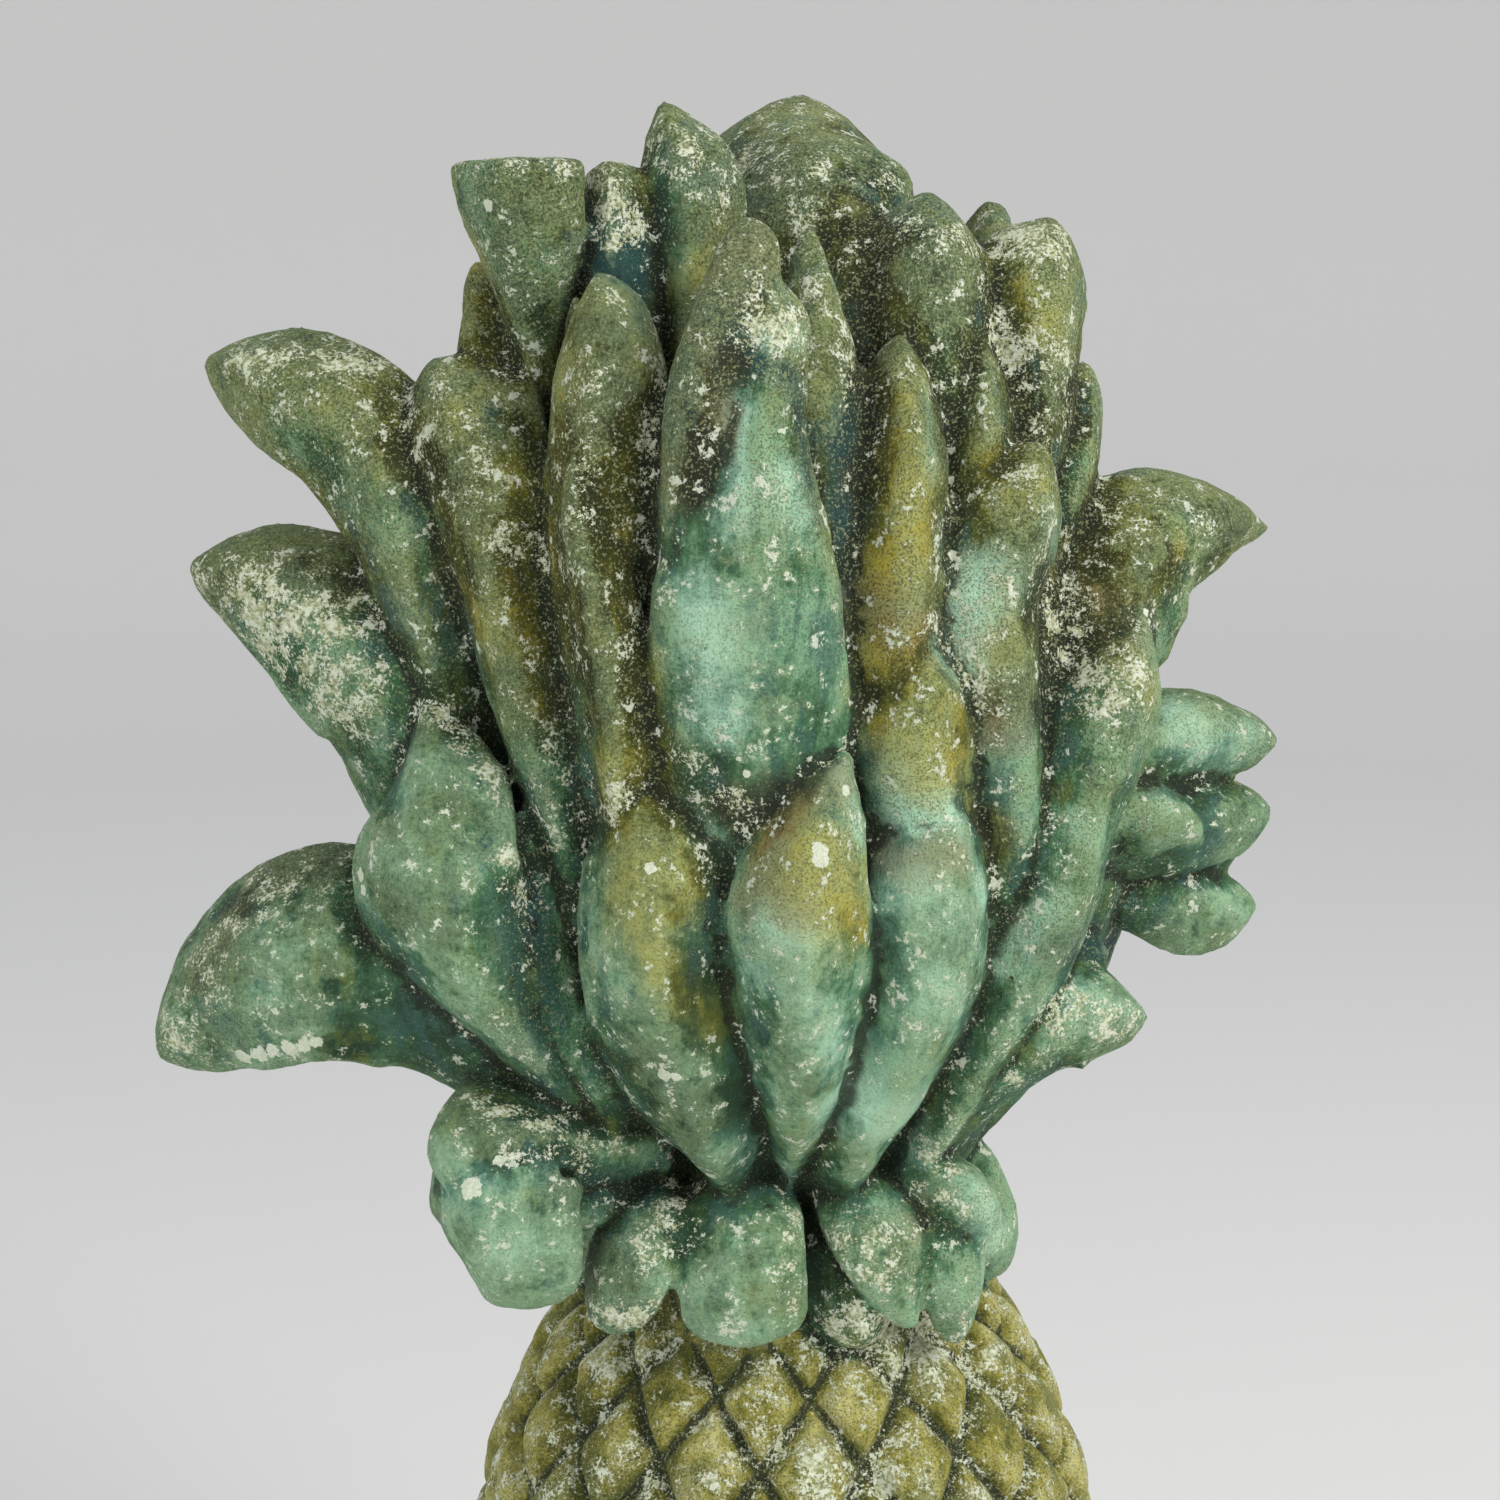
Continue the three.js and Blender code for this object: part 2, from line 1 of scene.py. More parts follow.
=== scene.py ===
# %% [markdown]
# # A cast-stone pineapple finial
#
# The object is a garden ornament cast in one piece: a pineapple whose fruit is cut into a lattice of
# diamond knobs, under a tall crown of thick fleshy leaves. Years outdoors have turned it verdigris green
# and ochre, with cream lichen on its tips and dark grime in its hollows, deepened here by painted shade.
#
# A casting has no separate parts, so it is made as one skin. Each leaf is shaped by itself, all of them are
# melted together, the skin is worn down, and it is painted with a finish that knows where the hollows,
# edges and tips are.

# %% The frame
import math

import bpy
import numpy as np
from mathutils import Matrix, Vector, noise
from mathutils.bvhtree import BVHTree
from mathutils.kdtree import KDTree


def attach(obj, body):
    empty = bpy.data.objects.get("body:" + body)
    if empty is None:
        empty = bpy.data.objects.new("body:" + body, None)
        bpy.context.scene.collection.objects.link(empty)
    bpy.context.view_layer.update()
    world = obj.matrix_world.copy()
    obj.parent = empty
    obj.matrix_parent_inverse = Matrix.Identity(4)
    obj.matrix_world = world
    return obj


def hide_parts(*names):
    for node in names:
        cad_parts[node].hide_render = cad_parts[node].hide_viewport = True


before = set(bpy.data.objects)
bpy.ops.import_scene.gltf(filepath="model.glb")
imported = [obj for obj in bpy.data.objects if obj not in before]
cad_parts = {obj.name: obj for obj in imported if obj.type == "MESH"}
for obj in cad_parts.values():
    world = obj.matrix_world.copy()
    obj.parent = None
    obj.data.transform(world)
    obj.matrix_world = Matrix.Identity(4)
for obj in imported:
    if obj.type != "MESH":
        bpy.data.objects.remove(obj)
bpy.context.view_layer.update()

# %% [markdown]
# ## The camera
#
# The camera comes first, because the paint uses it later to find where on the stone a mark lies. A long
# lens from a little above gives the flat, calm view of a product photograph.

# %% Camera
picture = 1500  # pixels across the square picture
focal = 3148  # pixels
sensor = 36  # mm
target = Vector((-0.0095, 0, 0.386))
distance = 0.85
elevation = math.radians(9)

forward = Vector((0, math.cos(elevation), -math.sin(elevation)))
upward = Vector((0, math.sin(elevation), math.cos(elevation)))
eye = target - distance * forward

scene = bpy.context.scene
camera = bpy.data.objects.new("camera", bpy.data.cameras.new("camera"))
scene.collection.objects.link(camera)
camera.location = eye
camera.rotation_euler = forward.to_track_quat("-Z", "Y").to_euler()
camera.data.sensor_width = sensor
camera.data.lens = sensor * focal / picture
bpy.context.scene.camera = camera


def ray_through(across, down):
    """The direction from the eye through a pixel of the picture."""
    right = Vector((1, 0, 0))
    sideways = right * (across - picture / 2) / focal
    upwards = upward * (picture / 2 - down) / focal
    return (forward + sideways + upwards).normalized()


print("the eye is at", [round(v, 3) for v in eye])

# %% [markdown]
# ## Sizes
#
# These are the finial's own sizes, in metres. The fruit stands on a low round base, and the crown grows
# from a short neck above it. Leaves are laid out in hundredths of the crown's height, so one number makes
# the whole crown taller or shorter.

# %% Sizes
plinth_radius, plinth_height, plinth_rounding = 0.068, 0.020, 0.005
foot_radius, foot_height = 0.058, 0.015
fruit_radius, fruit_height, fruit_waist = 0.085, 0.222, 0.46
diamonds_around, diamond_rows = 16, 12
knob_height = 0.005
groove_share, groove_floor = 0.4, 0.03  # shares of a knob's width
lattice_turn = 5.6  # degrees
neck_radius, neck_height = 0.046, 0.022
crown_height = 0.292
leaf_thickness = 0.045  # share of the crown's height
sunk = 0.004  # how far one form reaches into the next

foot_top = plinth_height + foot_height
fruit_bottom = foot_top - sunk
fruit_top = fruit_bottom + fruit_height
crown_bottom = fruit_top + neck_height - 2 * sunk
percent = crown_height / 100
print("the fruit starts at", round(fruit_bottom, 3), "m, the crown at", round(crown_bottom, 3), "m")

# %% [markdown]
# ## Closed shells
#
# Every form is a grid of rings closed at both ends. Lathe work and leaves can both be made like that, and
# the melting step needs a closed shell, which has a clear inside and outside. A box pushed about by hand
# gives forms that can't be changed with a number.

# %% Shells
shells = []  # each is (name, points, faces)
lathe_sides = 96
lathe_turns = np.linspace(0, 360, lathe_sides, endpoint=False)


def around(turn, radius, height):
    """A place at a turn about the axis, in degrees from the front towards the right."""
    angle = np.radians(turn)
    return np.stack(np.broadcast_arrays(radius * np.sin(angle), -radius * np.cos(angle), height), axis=-1)


def add_shell(name, rings, first, last):
    """Joins rings of points into a closed shell that ends in two single points."""
    count, sides = rings.shape[:2]
    points = np.concatenate([rings.reshape(-1, 3), [first, last]])
    faces = []
    for side in range(sides):
        beside = (side + 1) % sides
        for ring in range(0, (count - 1) * sides, sides):
            faces.append((ring + beside, ring + side, ring + sides + side, ring + sides + beside))
        faces.append((count * sides, side, beside))
        faces.append((count * sides + 1, (count - 1) * sides + beside, (count - 1) * sides + side))
    shells.append((name, points, faces))


def add_turned(name, profile, widen=(1, 1), forward=0):
    """Turns a profile of (radius, height) points about the axis, as on a lathe."""
    profile = np.array(profile, float)
    rings = np.stack([around(lathe_turns, radius, height) for radius, height in profile])
    rings = rings * [*widen, 1] - [0, forward, 0]
    add_shell(name, rings, [0, -forward, profile[0, 1]], [0, -forward, profile[-1, 1]])


# %% [markdown]
# ## Base
#
# A finial needs a flat foot to stand on a pier or a gatepost: a plain round plinth with a soft edge and a
# smaller ring under the fruit. A lathe profile is the natural way to make it.

# %% Base
corner = np.linspace(0, math.pi / 2, 7)
rim = plinth_radius - plinth_rounding
shoulder = plinth_height - plinth_rounding
edge = [(rim + plinth_rounding * math.cos(a), shoulder + plinth_rounding * math.sin(a)) for a in corner]
chamfer = 0.002
add_turned("plinth", [(plinth_radius - chamfer, 0), (plinth_radius, chamfer), *edge])
bevel = 0.004
add_turned("foot", [
    (foot_radius, plinth_height - sunk),
    (foot_radius, foot_top - bevel),
    (foot_radius - bevel, foot_top),
])
print("base is", 2 * plinth_radius, "m across")

# %% [markdown]
# ## Fruit
#
# The fruit is an egg, widest below its middle, cut by two families of slanting grooves. Between them stand
# diamond knobs, each a low pillow with a small dimple. Two slanting coordinates, `rising` and `falling`, are
# whole numbers along the grooves, so the depth at a place follows from how far it is from the nearest
# whole number. The paint asks the same function, to find the bottoms of the grooves.

# %% Fruit
fullness_above, fullness_below = 2.0, 2.6  # powers, higher is fuller
end_reach = 0.9  # below 1, the egg ends in a small flat and not in a point
dimple_depth, dimple_width = 0.25, 0.09  # shares of a knob
knob_level = 0.0014  # how far the knobs are set into the egg


def fruit_section(share):
    """Radius of the fruit without its knobs at a share of its height."""
    upper = share > fruit_waist
    reach = np.where(upper, (share - fruit_waist) / (1 - fruit_waist), (fruit_waist - share) / fruit_waist)
    return fruit_radius * np.sqrt(1 - (end_reach * reach) ** np.where(upper, fullness_above, fullness_below))


def lattice(turn, row):
    """How far a place is from the nearest groove and from its knob's middle, in widths of a knob."""
    column = (turn - lattice_turn) * diamonds_around / 360
    rising = (column + row * diamond_rows / 2) % 1
    falling = (column - row * diamond_rows / 2) % 1
    to_groove = np.minimum(np.minimum(rising, 1 - rising), np.minimum(falling, 1 - falling))
    return to_groove, np.hypot(rising - 0.5, falling - 0.5)


rows = np.linspace(0, 1, 360)
row_shares = rows - 0.05 * np.sin(2 * math.pi * rows)  # the rows crowd towards the top and the bottom
fruit_turns = np.linspace(0, 360, 480, endpoint=False)
to_groove, to_middle = lattice(fruit_turns[None, :], rows[:, None])
shoulder = 1 - np.clip(1 - (to_groove - groove_floor) / (groove_share / 2), 0, 1) ** 2
dimple = dimple_depth * np.exp(-(to_middle / dimple_width) ** 2)
pillow = 0.3 * (1 - np.clip(to_middle / 0.5, 0, 1) ** 2) - dimple
radii = fruit_section(row_shares)[:, None] + knob_height * (1.15 * shoulder + pillow) - knob_level
rings = around(fruit_turns[None, :], radii, (fruit_bottom + row_shares * fruit_height)[:, None])
add_shell("fruit", rings, [0, 0, fruit_bottom], [0, 0, fruit_top])
add_turned("neck", [
    (neck_radius + 0.006, fruit_top - 0.025),
    (neck_radius, fruit_top),
    (neck_radius, crown_bottom + 0.004),
], forward=2.5 * percent)
heart = [(11, -4), (15, 6), (22, 18), (26, 30), (25.5, 48), (24, 60), (19, 70), (14, 79), (8, 87), (1, 91)]
heart = [(r * percent, crown_bottom + up * percent) for r, up in heart]
add_turned("heart", heart, widen=(1.22, 1), forward=3 * percent)
print("fruit is", round(2 * float(np.abs(rings[..., 0]).max()), 3), "m across over its knobs")

# %% [markdown]
# ## One leaf
#
# A leaf is a fleshy blade, thick along its middle and thin at its margins, bent along a spine. It is
# lofted: a section is carried along the spine and made wider or narrower on the way. The front of the
# section is a low arch and its back is full. Near the root the back flares out, so that neighbours meet in
# a groove and not in a slot. A flat plane with a thickness modifier could bend too, but its margins would
# be square and its root thin. For the paint, each point remembers its leaf and how far along it lies.

# %% Leaf
leaf_points = []  # (leaf number, share along it, place) for the paint
rounds, sides = 14, 36  # rings between two places, and points in a ring
root_radius = 0.61 * neck_radius  # a leaf starts inside the neck
root_width = 0.6  # share of the width at its first place
face_tilt = 0.35  # how far its face looks up
full_width, slimming = 10 * percent, 0.6  # a narrower leaf is thinner too
arch, back, back_at_root = 1.25, 0.9, 1.4  # heights of the section in half thicknesses
cup_level = 0.3  # where a cupped section crosses its own plane
root_flare = 0.25


def eased(b, c, leave, arrive, t):
    """A cubic from b to c that leaves and arrives at the given rates."""
    return b + leave * t + (3 * (c - b) - 2 * leave - arrive) * t**2 + (2 * (b - c) + leave + arrive) * t**3


def smooth_line(knots, count):
    """Points along a smooth line through the knots, the same number between each two."""
    padded = np.concatenate([[2 * knots[0] - knots[1]], knots, [2 * knots[-1] - knots[-2]]])
    out = []
    for a, b, c, d in zip(padded, padded[1:], padded[2:], padded[3:]):
        before, here, after = (np.linalg.norm(q - p) ** 0.5 for p, q in ((a, b), (b, c), (c, d)))
        leave = ((b - a) / before - (c - a) / (before + here) + (c - b) / here) * here
        arrive = ((c - b) / here - (d - b) / (here + after) + (d - c) / after) * here
        out.append(eased(b, c, leave, arrive, np.linspace(0, 1, count, endpoint=False)[:, None]))
    return np.concatenate([*out, knots[-1:]])


def unit(vectors):
    return vectors / np.linalg.norm(vectors, axis=-1, keepdims=True)


def add_leaf(name, root, face, spine, cup=-0.14, keel=0.25, blunt=2.2):
    """Lofts one leaf. Each place of `spine` is [across, forward, up, width] in hundredths of the crown.

    `root` is the turn of its root and `face` the turn that it faces. `cup` brings its margins forward,
    `keel` is the height of its middle ridge, and a higher `blunt` makes its tip squarer.
    """
    spine = np.array(spine, float)
    start = around(root, root_radius, crown_bottom)
    knots = spine[:, :3] * [percent, -percent, percent] + [0, 0, crown_bottom]
    knots = np.concatenate([[start], knots])
    widths = np.concatenate([[root_width * spine[0, 3]], spine[:, 3]]) * percent
    line = smooth_line(knots, 3 * rounds)
    last = len(knots) - 1
    share = np.linspace(0, last, last * rounds + 1)
    tip = np.linspace(0, math.pi / 2, 2 * rounds)
    share = np.concatenate([share[: -rounds - 1], last - 1 + 0.999 * np.sin(tip)])

    def place_at(number):
        """The point of the line at a number of steps along it, which may be a fraction."""
        return np.stack([np.interp(number, np.arange(len(line)), line[:, i]) for i in range(3)], axis=1)

    middle = place_at(share * 3 * rounds)
    width = np.interp(share, np.linspace(0, last, len(line)), smooth_widths(widths, 3 * rounds))
    tangent = unit(place_at(share * 3 * rounds + 2) - place_at(share * 3 * rounds - 2))
    side = unit(np.cross(tangent, unit(around(face, 1, face_tilt))))
    outward = np.cross(side, tangent)
    closing = np.sqrt(1 - np.clip(share - last + 1, 0, 1) ** blunt)
    half = (0.5 * width * closing)[:, None]
    slim = np.minimum(1, width / full_width) ** slimming
    depth = (leaf_thickness * crown_height * slim * np.sqrt(closing))[:, None]
    angle = np.linspace(0, 2 * math.pi, sides, endpoint=False)[None, :]
    across, over = np.cos(angle), np.sin(angle)
    over = np.where(over > 0, over**2, -np.abs(over) ** 0.8)  # an arch in front, a full back
    front = over > 0
    rooted = (1 - share / last)[:, None]
    crest = np.where(front, keel * depth * (1 - np.abs(across)), 0)
    bend = cup * half * (across**2 - cup_level)
    lift = 0.5 * depth * np.where(front, arch * over, (back + back_at_root * rooted) * over) + crest + bend
    flare = np.where(front, 1, 1 - root_flare * rooted * over)
    sideways = half * across * flare
    grid = middle[:, None] + side[:, None] * sideways[..., None] + outward[:, None] * lift[..., None]
    add_shell(name, grid, knots[0], knots[-1])
    number = len(shells) - 1
    for ring, share_along in zip(grid, share / last):
        leaf_points.extend((number, share_along, p) for p in ring)


def smooth_widths(widths, count):
    """Widths between the places of a spine, evened by a soft curve."""
    padded = np.concatenate([widths[:1], widths, widths[-1:]])
    out = []
    for a, b, c, d in zip(padded, padded[1:], padded[2:], padded[3:]):
        out.append(eased(b, c, (c - a) / 2, (d - b) / 2, np.linspace(0, 1, count, endpoint=False)))
    return np.concatenate([*out, widths[-1:]])


print("a leaf is", round(leaf_thickness * crown_height * 1000, 1), "mm thick at its middle")

# %% [markdown]
# ## The crown
#
# The crown has a ring of long leaves low at the front, a tall row behind it, arms that reach out to both
# sides, and broad tips at the top. Under it a collar of small leaves turns down over the fruit. Each call
# below is one leaf: the turn of its root, the turn that it faces, its spine with the widths, and what sets
# it apart from a plain leaf. No rule gives the lively front of a carved crown, so they are placed one by one.

# %% Front leaves
add_leaf("front_left", -24, -14, [
    [-5, 19, 6.5, 6], [-8.5, 26, 17, 13.5], [-11.5, 29, 27.5, 13.5], [-11.5, 29, 35, 13],
    [-11.5, 27, 41, 9.5]], cup=-0.2, blunt=3)
add_leaf("front_middle", 0, 2, [
    [0.5, 20, 8.5, 4.5], [1, 28, 18, 9], [1, 32, 27, 11.5], [1, 33, 34.5, 11.5], [3, 32, 41, 7],
    [5, 30, 45.5, 2]], cup=-0.2)
add_leaf("front_right", 22, 22, [
    [4.5, 19, 6.5, 6], [8.5, 25, 16.5, 9.5], [11.5, 28, 26, 11.5], [12, 28.5, 33, 11.5], [12, 27, 38, 10],
    [12.5, 25, 41.5, 4.5]], cup=-0.2)
add_leaf("front_right_upper", 12, 10, [
    [9, 23, 29.5, 11], [11, 26, 37.5, 10.5], [10.5, 27.5, 44.5, 11.5], [11, 27.5, 50, 8],
    [10.5, 26, 55.5, 2.5]])
add_leaf("slender_left", -44, -30, [
    [-15, 21, 13.5, 5], [-20, 23, 23.5, 5.5], [-22, 23, 32.5, 4.5], [-22, 22, 40.5, 3]])
add_leaf("slender_left_low", -38, -25, [[-14, 20, 11.5, 4.5], [-17, 23, 18.5, 5.5], [-19, 23, 25, 3.5]])
add_leaf("front_shelf", -4, 4, [
    [-2, 22, 22.5, 5.5], [-4.5, 26.5, 31.5, 7], [-5, 27.5, 38, 9],
    [-4.5, 27.5, 42, 8]], cup=0.02, keel=0.08, blunt=4)
add_leaf("tall_left", -22, -16, [
    [-12.5, 23, 35.5, 10], [-14.5, 26, 49.5, 9], [-15.5, 26, 58.5, 10], [-15.5, 26, 68, 10.5],
    [-15, 26, 76, 10], [-15, 25, 81, 7], [-15.5, 23.5, 84.5, 4]], keel=0.3)
add_leaf("tall_left_inner", -14, -20, [
    [-12.5, 25, 36, 7.5], [-14, 28.5, 50, 7], [-15.5, 29, 58, 6], [-17, 28.5, 65.5, 4.5],
    [-17, 27.5, 72, 2.5]], keel=0.4)
add_leaf("tall_middle", 0, 4, [
    [-3.5, 24, 30.5, 13.5], [-3, 28.5, 41.5, 15], [-3, 30.5, 50.5, 16], [-3.5, 31.5, 58, 15.5],
    [-3, 32, 64.5, 12.5], [-2.5, 32, 70.5, 8.5], [-2, 31.5, 76, 7], [-1.5, 30.5, 80.5, 6.5],
    [-1.5, 28.5, 83.5, 5]], cup=-0.04, keel=0.15, blunt=3)
add_leaf("tall_middle_shoulder", -8, -44, [
    [-8.5, 25, 49, 8], [-8, 28.5, 56.5, 7.5], [-7.5, 30, 65, 8.5], [-7, 30.5, 73, 9], [-5, 30, 81, 8],
    [-2.5, 27, 88.5, 6.5]], cup=-0.02, blunt=4)
add_leaf("tall_right_strip", 7, 20, [
    [3.5, 24, 43.5, 6.5], [3.5, 25.5, 51, 6], [3, 26.5, 59.5, 7], [2.5, 26.5, 68, 8.5], [2.5, 26, 76, 7.5],
    [2, 24, 83, 4.5], [1.5, 22, 88.5, 3]], cup=0.06, keel=0.1)
add_leaf("tall_right", 17, 12, [
    [9, 23, 41, 10], [9, 25.5, 49, 8.5], [9, 26, 56.5, 9.5], [9, 26, 63.5, 9], [9.5, 25.5, 70.5, 7.5],
    [9, 24, 75.5, 6], [9, 22, 79, 3.5]], keel=0.3)
add_leaf("tall_far_right", 28, 26, [
    [17, 21, 31, 7.5], [18.5, 23.5, 39.5, 7.5], [17.5, 24, 49, 9.5], [17, 24, 58, 10], [19, 23, 64.5, 10],
    [20.5, 20, 70, 8]], keel=0.3)
add_leaf("upper_right_inner", 24, 12, [
    [16, 21, 55.5, 7.5], [15.5, 21.5, 64.5, 6.5], [16, 20.5, 72, 6.5], [16, 18.5, 79.5, 4.5]])

# %% Side leaves
add_leaf("right_inner", 40, 25, [
    [12, 18, 8, 4], [17, 21.5, 18.5, 7.5], [22, 22.5, 29, 9], [24.5, 22, 39, 9.5], [28, 19.5, 48, 10],
    [30, 16, 57, 5]], keel=0.25)
add_leaf("right_arm", 56, 22, [
    [24.5, 13, 41, 9], [27, 15, 53, 14.5], [31, 13, 61, 14], [37.5, 9, 62.5, 8.5], [43, 5, 61.5, 3]])
add_leaf("right_second", 66, 25, [
    [24, 12, 34.5, 10.5], [29, 13, 42, 9], [35.5, 10, 44, 8.5], [43.5, 5, 42, 6]], blunt=6)
add_leaf("right_third", 74, 28, [
    [23, 10, 29, 9], [28.5, 12, 35.5, 10], [36.5, 9, 36, 9.5], [43, 5, 35.5, 6.5]], blunt=8)
add_leaf("right_third_front", 70, 24, [
    [25, 13.5, 32, 5.5], [29, 15, 37.5, 6.5], [33.5, 13.5, 36.5, 6.5], [36, 11.5, 34, 3]], blunt=3)
add_leaf("right_backing", 76, 26, [
    [23, 9, 30.5, 16], [29.5, 7.5, 35.5, 16.5], [37, 4, 35, 16.5], [41.5, 1, 33.5, 12]], blunt=3)
add_leaf("right_fourth", 84, 34, [
    [22, 7, 25, 8.5], [29, 8, 29.5, 7], [36.5, 6, 27.5, 9], [42, 2, 26, 7.5]], blunt=6)
add_leaf("right_low", 62, 25, [
    [11, 14, 6, 5.5], [18.5, 19, 15.5, 7], [24.5, 19, 20.5, 10.5], [31, 16, 19, 6.5]], blunt=4)
add_leaf("right_low_back", 68, 30, [[17, 14, 16.5, 7], [23, 15, 23, 7.5], [28, 13, 25, 8.5]])
add_leaf("right_curl", 50, 35, [[9.5, 15, 5, 4.5], [14.5, 18, 4, 7.5], [18, 17, 0, 6.5]], blunt=3)
add_leaf("left_arm", -62, -20, [
    [-28.5, 17, 47, 8], [-31, 18, 56, 9.5], [-33.5, 18, 65, 12], [-37.5, 16, 71.5, 13], [-44.5, 13, 75, 11],
    [-50, 9, 76, 6]], blunt=6)
add_leaf("left_arm_inner", -52, -24, [
    [-18, 22, 35.5, 6.5], [-21.5, 23, 48.5, 8.5], [-23.5, 22.5, 58, 10], [-25.5, 21.5, 66, 12.5],
    [-27.5, 19, 72, 13.5], [-29, 15, 76, 10.5]], blunt=4)
add_leaf("left_second", -74, -22, [
    [-31, 14, 38.5, 13.5], [-34.5, 16, 48, 16], [-39.5, 14, 54, 16], [-46.5, 11, 57.5, 11.5],
    [-52, 7, 58, 6]], blunt=6)
add_leaf("left_diamond", -58, -24, [
    [-14.5, 17, 9, 4], [-23, 23, 20.5, 8], [-28, 25, 28.5, 13], [-30.5, 25, 34.5, 16],
    [-29.5, 23, 40, 12.5], [-30.5, 18, 49.5, 4]], blunt=2)
add_leaf("left_low_arm", -82, -22, [
    [-23.5, 16, 15.5, 12], [-31, 18, 22.5, 17], [-40.5, 18.5, 26, 19.5], [-49.5, 15.5, 21.5, 16],
    [-55, 11.5, 14.5, 7.5]], blunt=4)
add_leaf("left_curl", -68, -30, [
    [-19.5, 18.5, 9, 5.5], [-25, 23, 7.5, 15], [-25, 25, 4.5, 14.5], [-24, 24, 0.5, 13.5],
    [-23, 20, -4, 10.5]], blunt=3, cup=-0.2)
add_leaf("left_curl_band", -60, -22, [
    [-12.5, 18, 8, 6], [-20, 22, 9.5, 10], [-27, 24, 9.5, 12], [-30, 23, 8.5, 10.5]], blunt=3)

# %% Top leaves
add_leaf("top_left_low", -60, -28, [[-22.5, 16, 67, 7.5], [-25, 16, 75, 8], [-26.5, 13, 85.5, 5.5]])
add_leaf("trumpet", -43, -20, [
    [-20.5, 17, 72, 3], [-21.5, 18, 79.5, 5], [-22, 20.5, 87, 10], [-22.5, 22, 91.5, 12],
    [-22.5, 22, 94, 12.5]], cup=0.14, blunt=14)
add_leaf("top_left", -30, -12, [
    [-13.5, 18.5, 74, 7.5], [-14, 19, 83, 7.5], [-14.5, 19, 89.5, 6.5], [-15, 18, 93.5, 6]], blunt=6)
add_leaf("top_left_tip", -15, -8, [
    [-9, 18, 75.5, 4.5], [-8, 18.5, 85.5, 8], [-8.5, 17.5, 92, 9], [-10.5, 14, 98.5, 5.5]])
add_leaf("dome", 170, 0, [
    [2.5, 10, 66.5, 11.5], [2.5, 13, 79.5, 14], [2, 10, 90, 18.5], [1, 3, 94, 18],
    [1.5, -6, 98, 15]], blunt=3)
add_leaf("dome_front", 4, 6, [
    [7, 20, 63.5, 5.5], [6.5, 17.5, 73, 9], [5.5, 15.5, 81.5, 10], [5, 11, 90.5, 9]])
add_leaf("top_right", 30, 14, [
    [11.5, 18.5, 67, 9.5], [12, 19, 75, 11.5], [12, 17.5, 83, 13], [11.5, 13, 90.5, 10.5]], blunt=3)
add_leaf("top_right_tip", 52, 20, [
    [20, 16, 67, 8.5], [21, 15.5, 75, 9], [21, 14, 82.5, 11], [22, 10.5, 88.5, 10]], blunt=3)
add_leaf("top_right_low", 70, 30, [[23, 14.5, 63.5, 6.5], [25, 12, 70.5, 6], [25.5, 9, 76.5, 5.5]], blunt=3)

# %% Collar
add_leaf("collar_lip", -52, -35, [[-14.5, 18, 4.5, 3.5], [-17.5, 21, 4, 4], [-19, 21, 1.5, 3.5]], blunt=3)
add_leaf("collar_hook", -36, -25, [
    [-11.5, 18, 3.5, 7], [-13.5, 22.5, -0.5, 8.5], [-16, 21.5, -7.5, 7.5]], blunt=4, cup=0.12, keel=-0.12)
add_leaf("collar_apron", -7, -4, [
    [-3.5, 18.5, 4, 9.5], [-4, 24, -1, 11.5], [-3.5, 23, -8, 11]], blunt=7, cup=0.14, keel=-0.1)
add_leaf("collar_under", 10, 12, [[5.5, 17, -0.5, 9.5], [6, 19.5, -10, 10]], blunt=3)
add_leaf("collar_middle", 18, 18, [
    [5.5, 18, 4, 7], [8, 22, 0.5, 8], [11, 21, -7.5, 5.5]], cup=0.1, keel=-0.08)
add_leaf("collar_right", 38, 30, [
    [12.5, 17, 4, 5], [14.5, 19, -1, 7], [15, 18, -10, 6]], blunt=3, cup=0.1, keel=-0.08)
print(len(shells), "shells so far")

# %% [markdown]
# ## The back of the crown
#
# The back is plainer. Its leaves come in rows of like leaves, as a maker would carve the side that stands
# against a wall. Only the turn changes from leaf to leaf, so a loop makes them.

# %% Back leaves
back_rows = {
    "back_low": ([92, 118, 149, 180, 211, 242, 268], [[23, 15, 14], [29, 30, 17], [31, 45, 9]]),
    "back_middle": ([112, 138, 167, 197, 230, 262], [[21, 36, 14], [25, 58, 16], [30, 73, 8]]),
    "back_high": ([118, 150, 182, 214, 242, 266], [[15, 56, 13], [19, 78, 14], [22, 91, 8]]),
    "back_collar": ([80, 112, 146, 180, 214, 248, 280], [[15, 2, 9], [18, -3, 12], [18, -9, 9]]),
}
for row_name, (turns, spine) in back_rows.items():
    for turn in turns:
        own = [(*(around(turn, out, up) * [1, -1, 1]), width) for out, up, width in spine]
        add_leaf(f"{row_name}_{turn}", turn, turn, own)
print(len(shells), "shells in all")

# %% [markdown]
# ## Melting the shells into one skin
#
# The shells overlap, and a real casting has one skin. A Boolean union keeps razor-sharp joins and fails on
# many crossing shells. A voxel remesh fills the forms with tiny cubes and wraps them anew, which closes
# every join and gives even faces that can be worn down. The voxel is smaller than the narrowest groove.

# %% One skin
voxel = 0.0014


def object_from(name, points, faces):
    """Makes a mesh object of points and faces."""
    mesh = bpy.data.meshes.new(name)
    mesh.from_pydata([tuple(p) for p in points], [], faces)
    made = bpy.data.objects.new(name, mesh)
    scene.collection.objects.link(made)
    return made


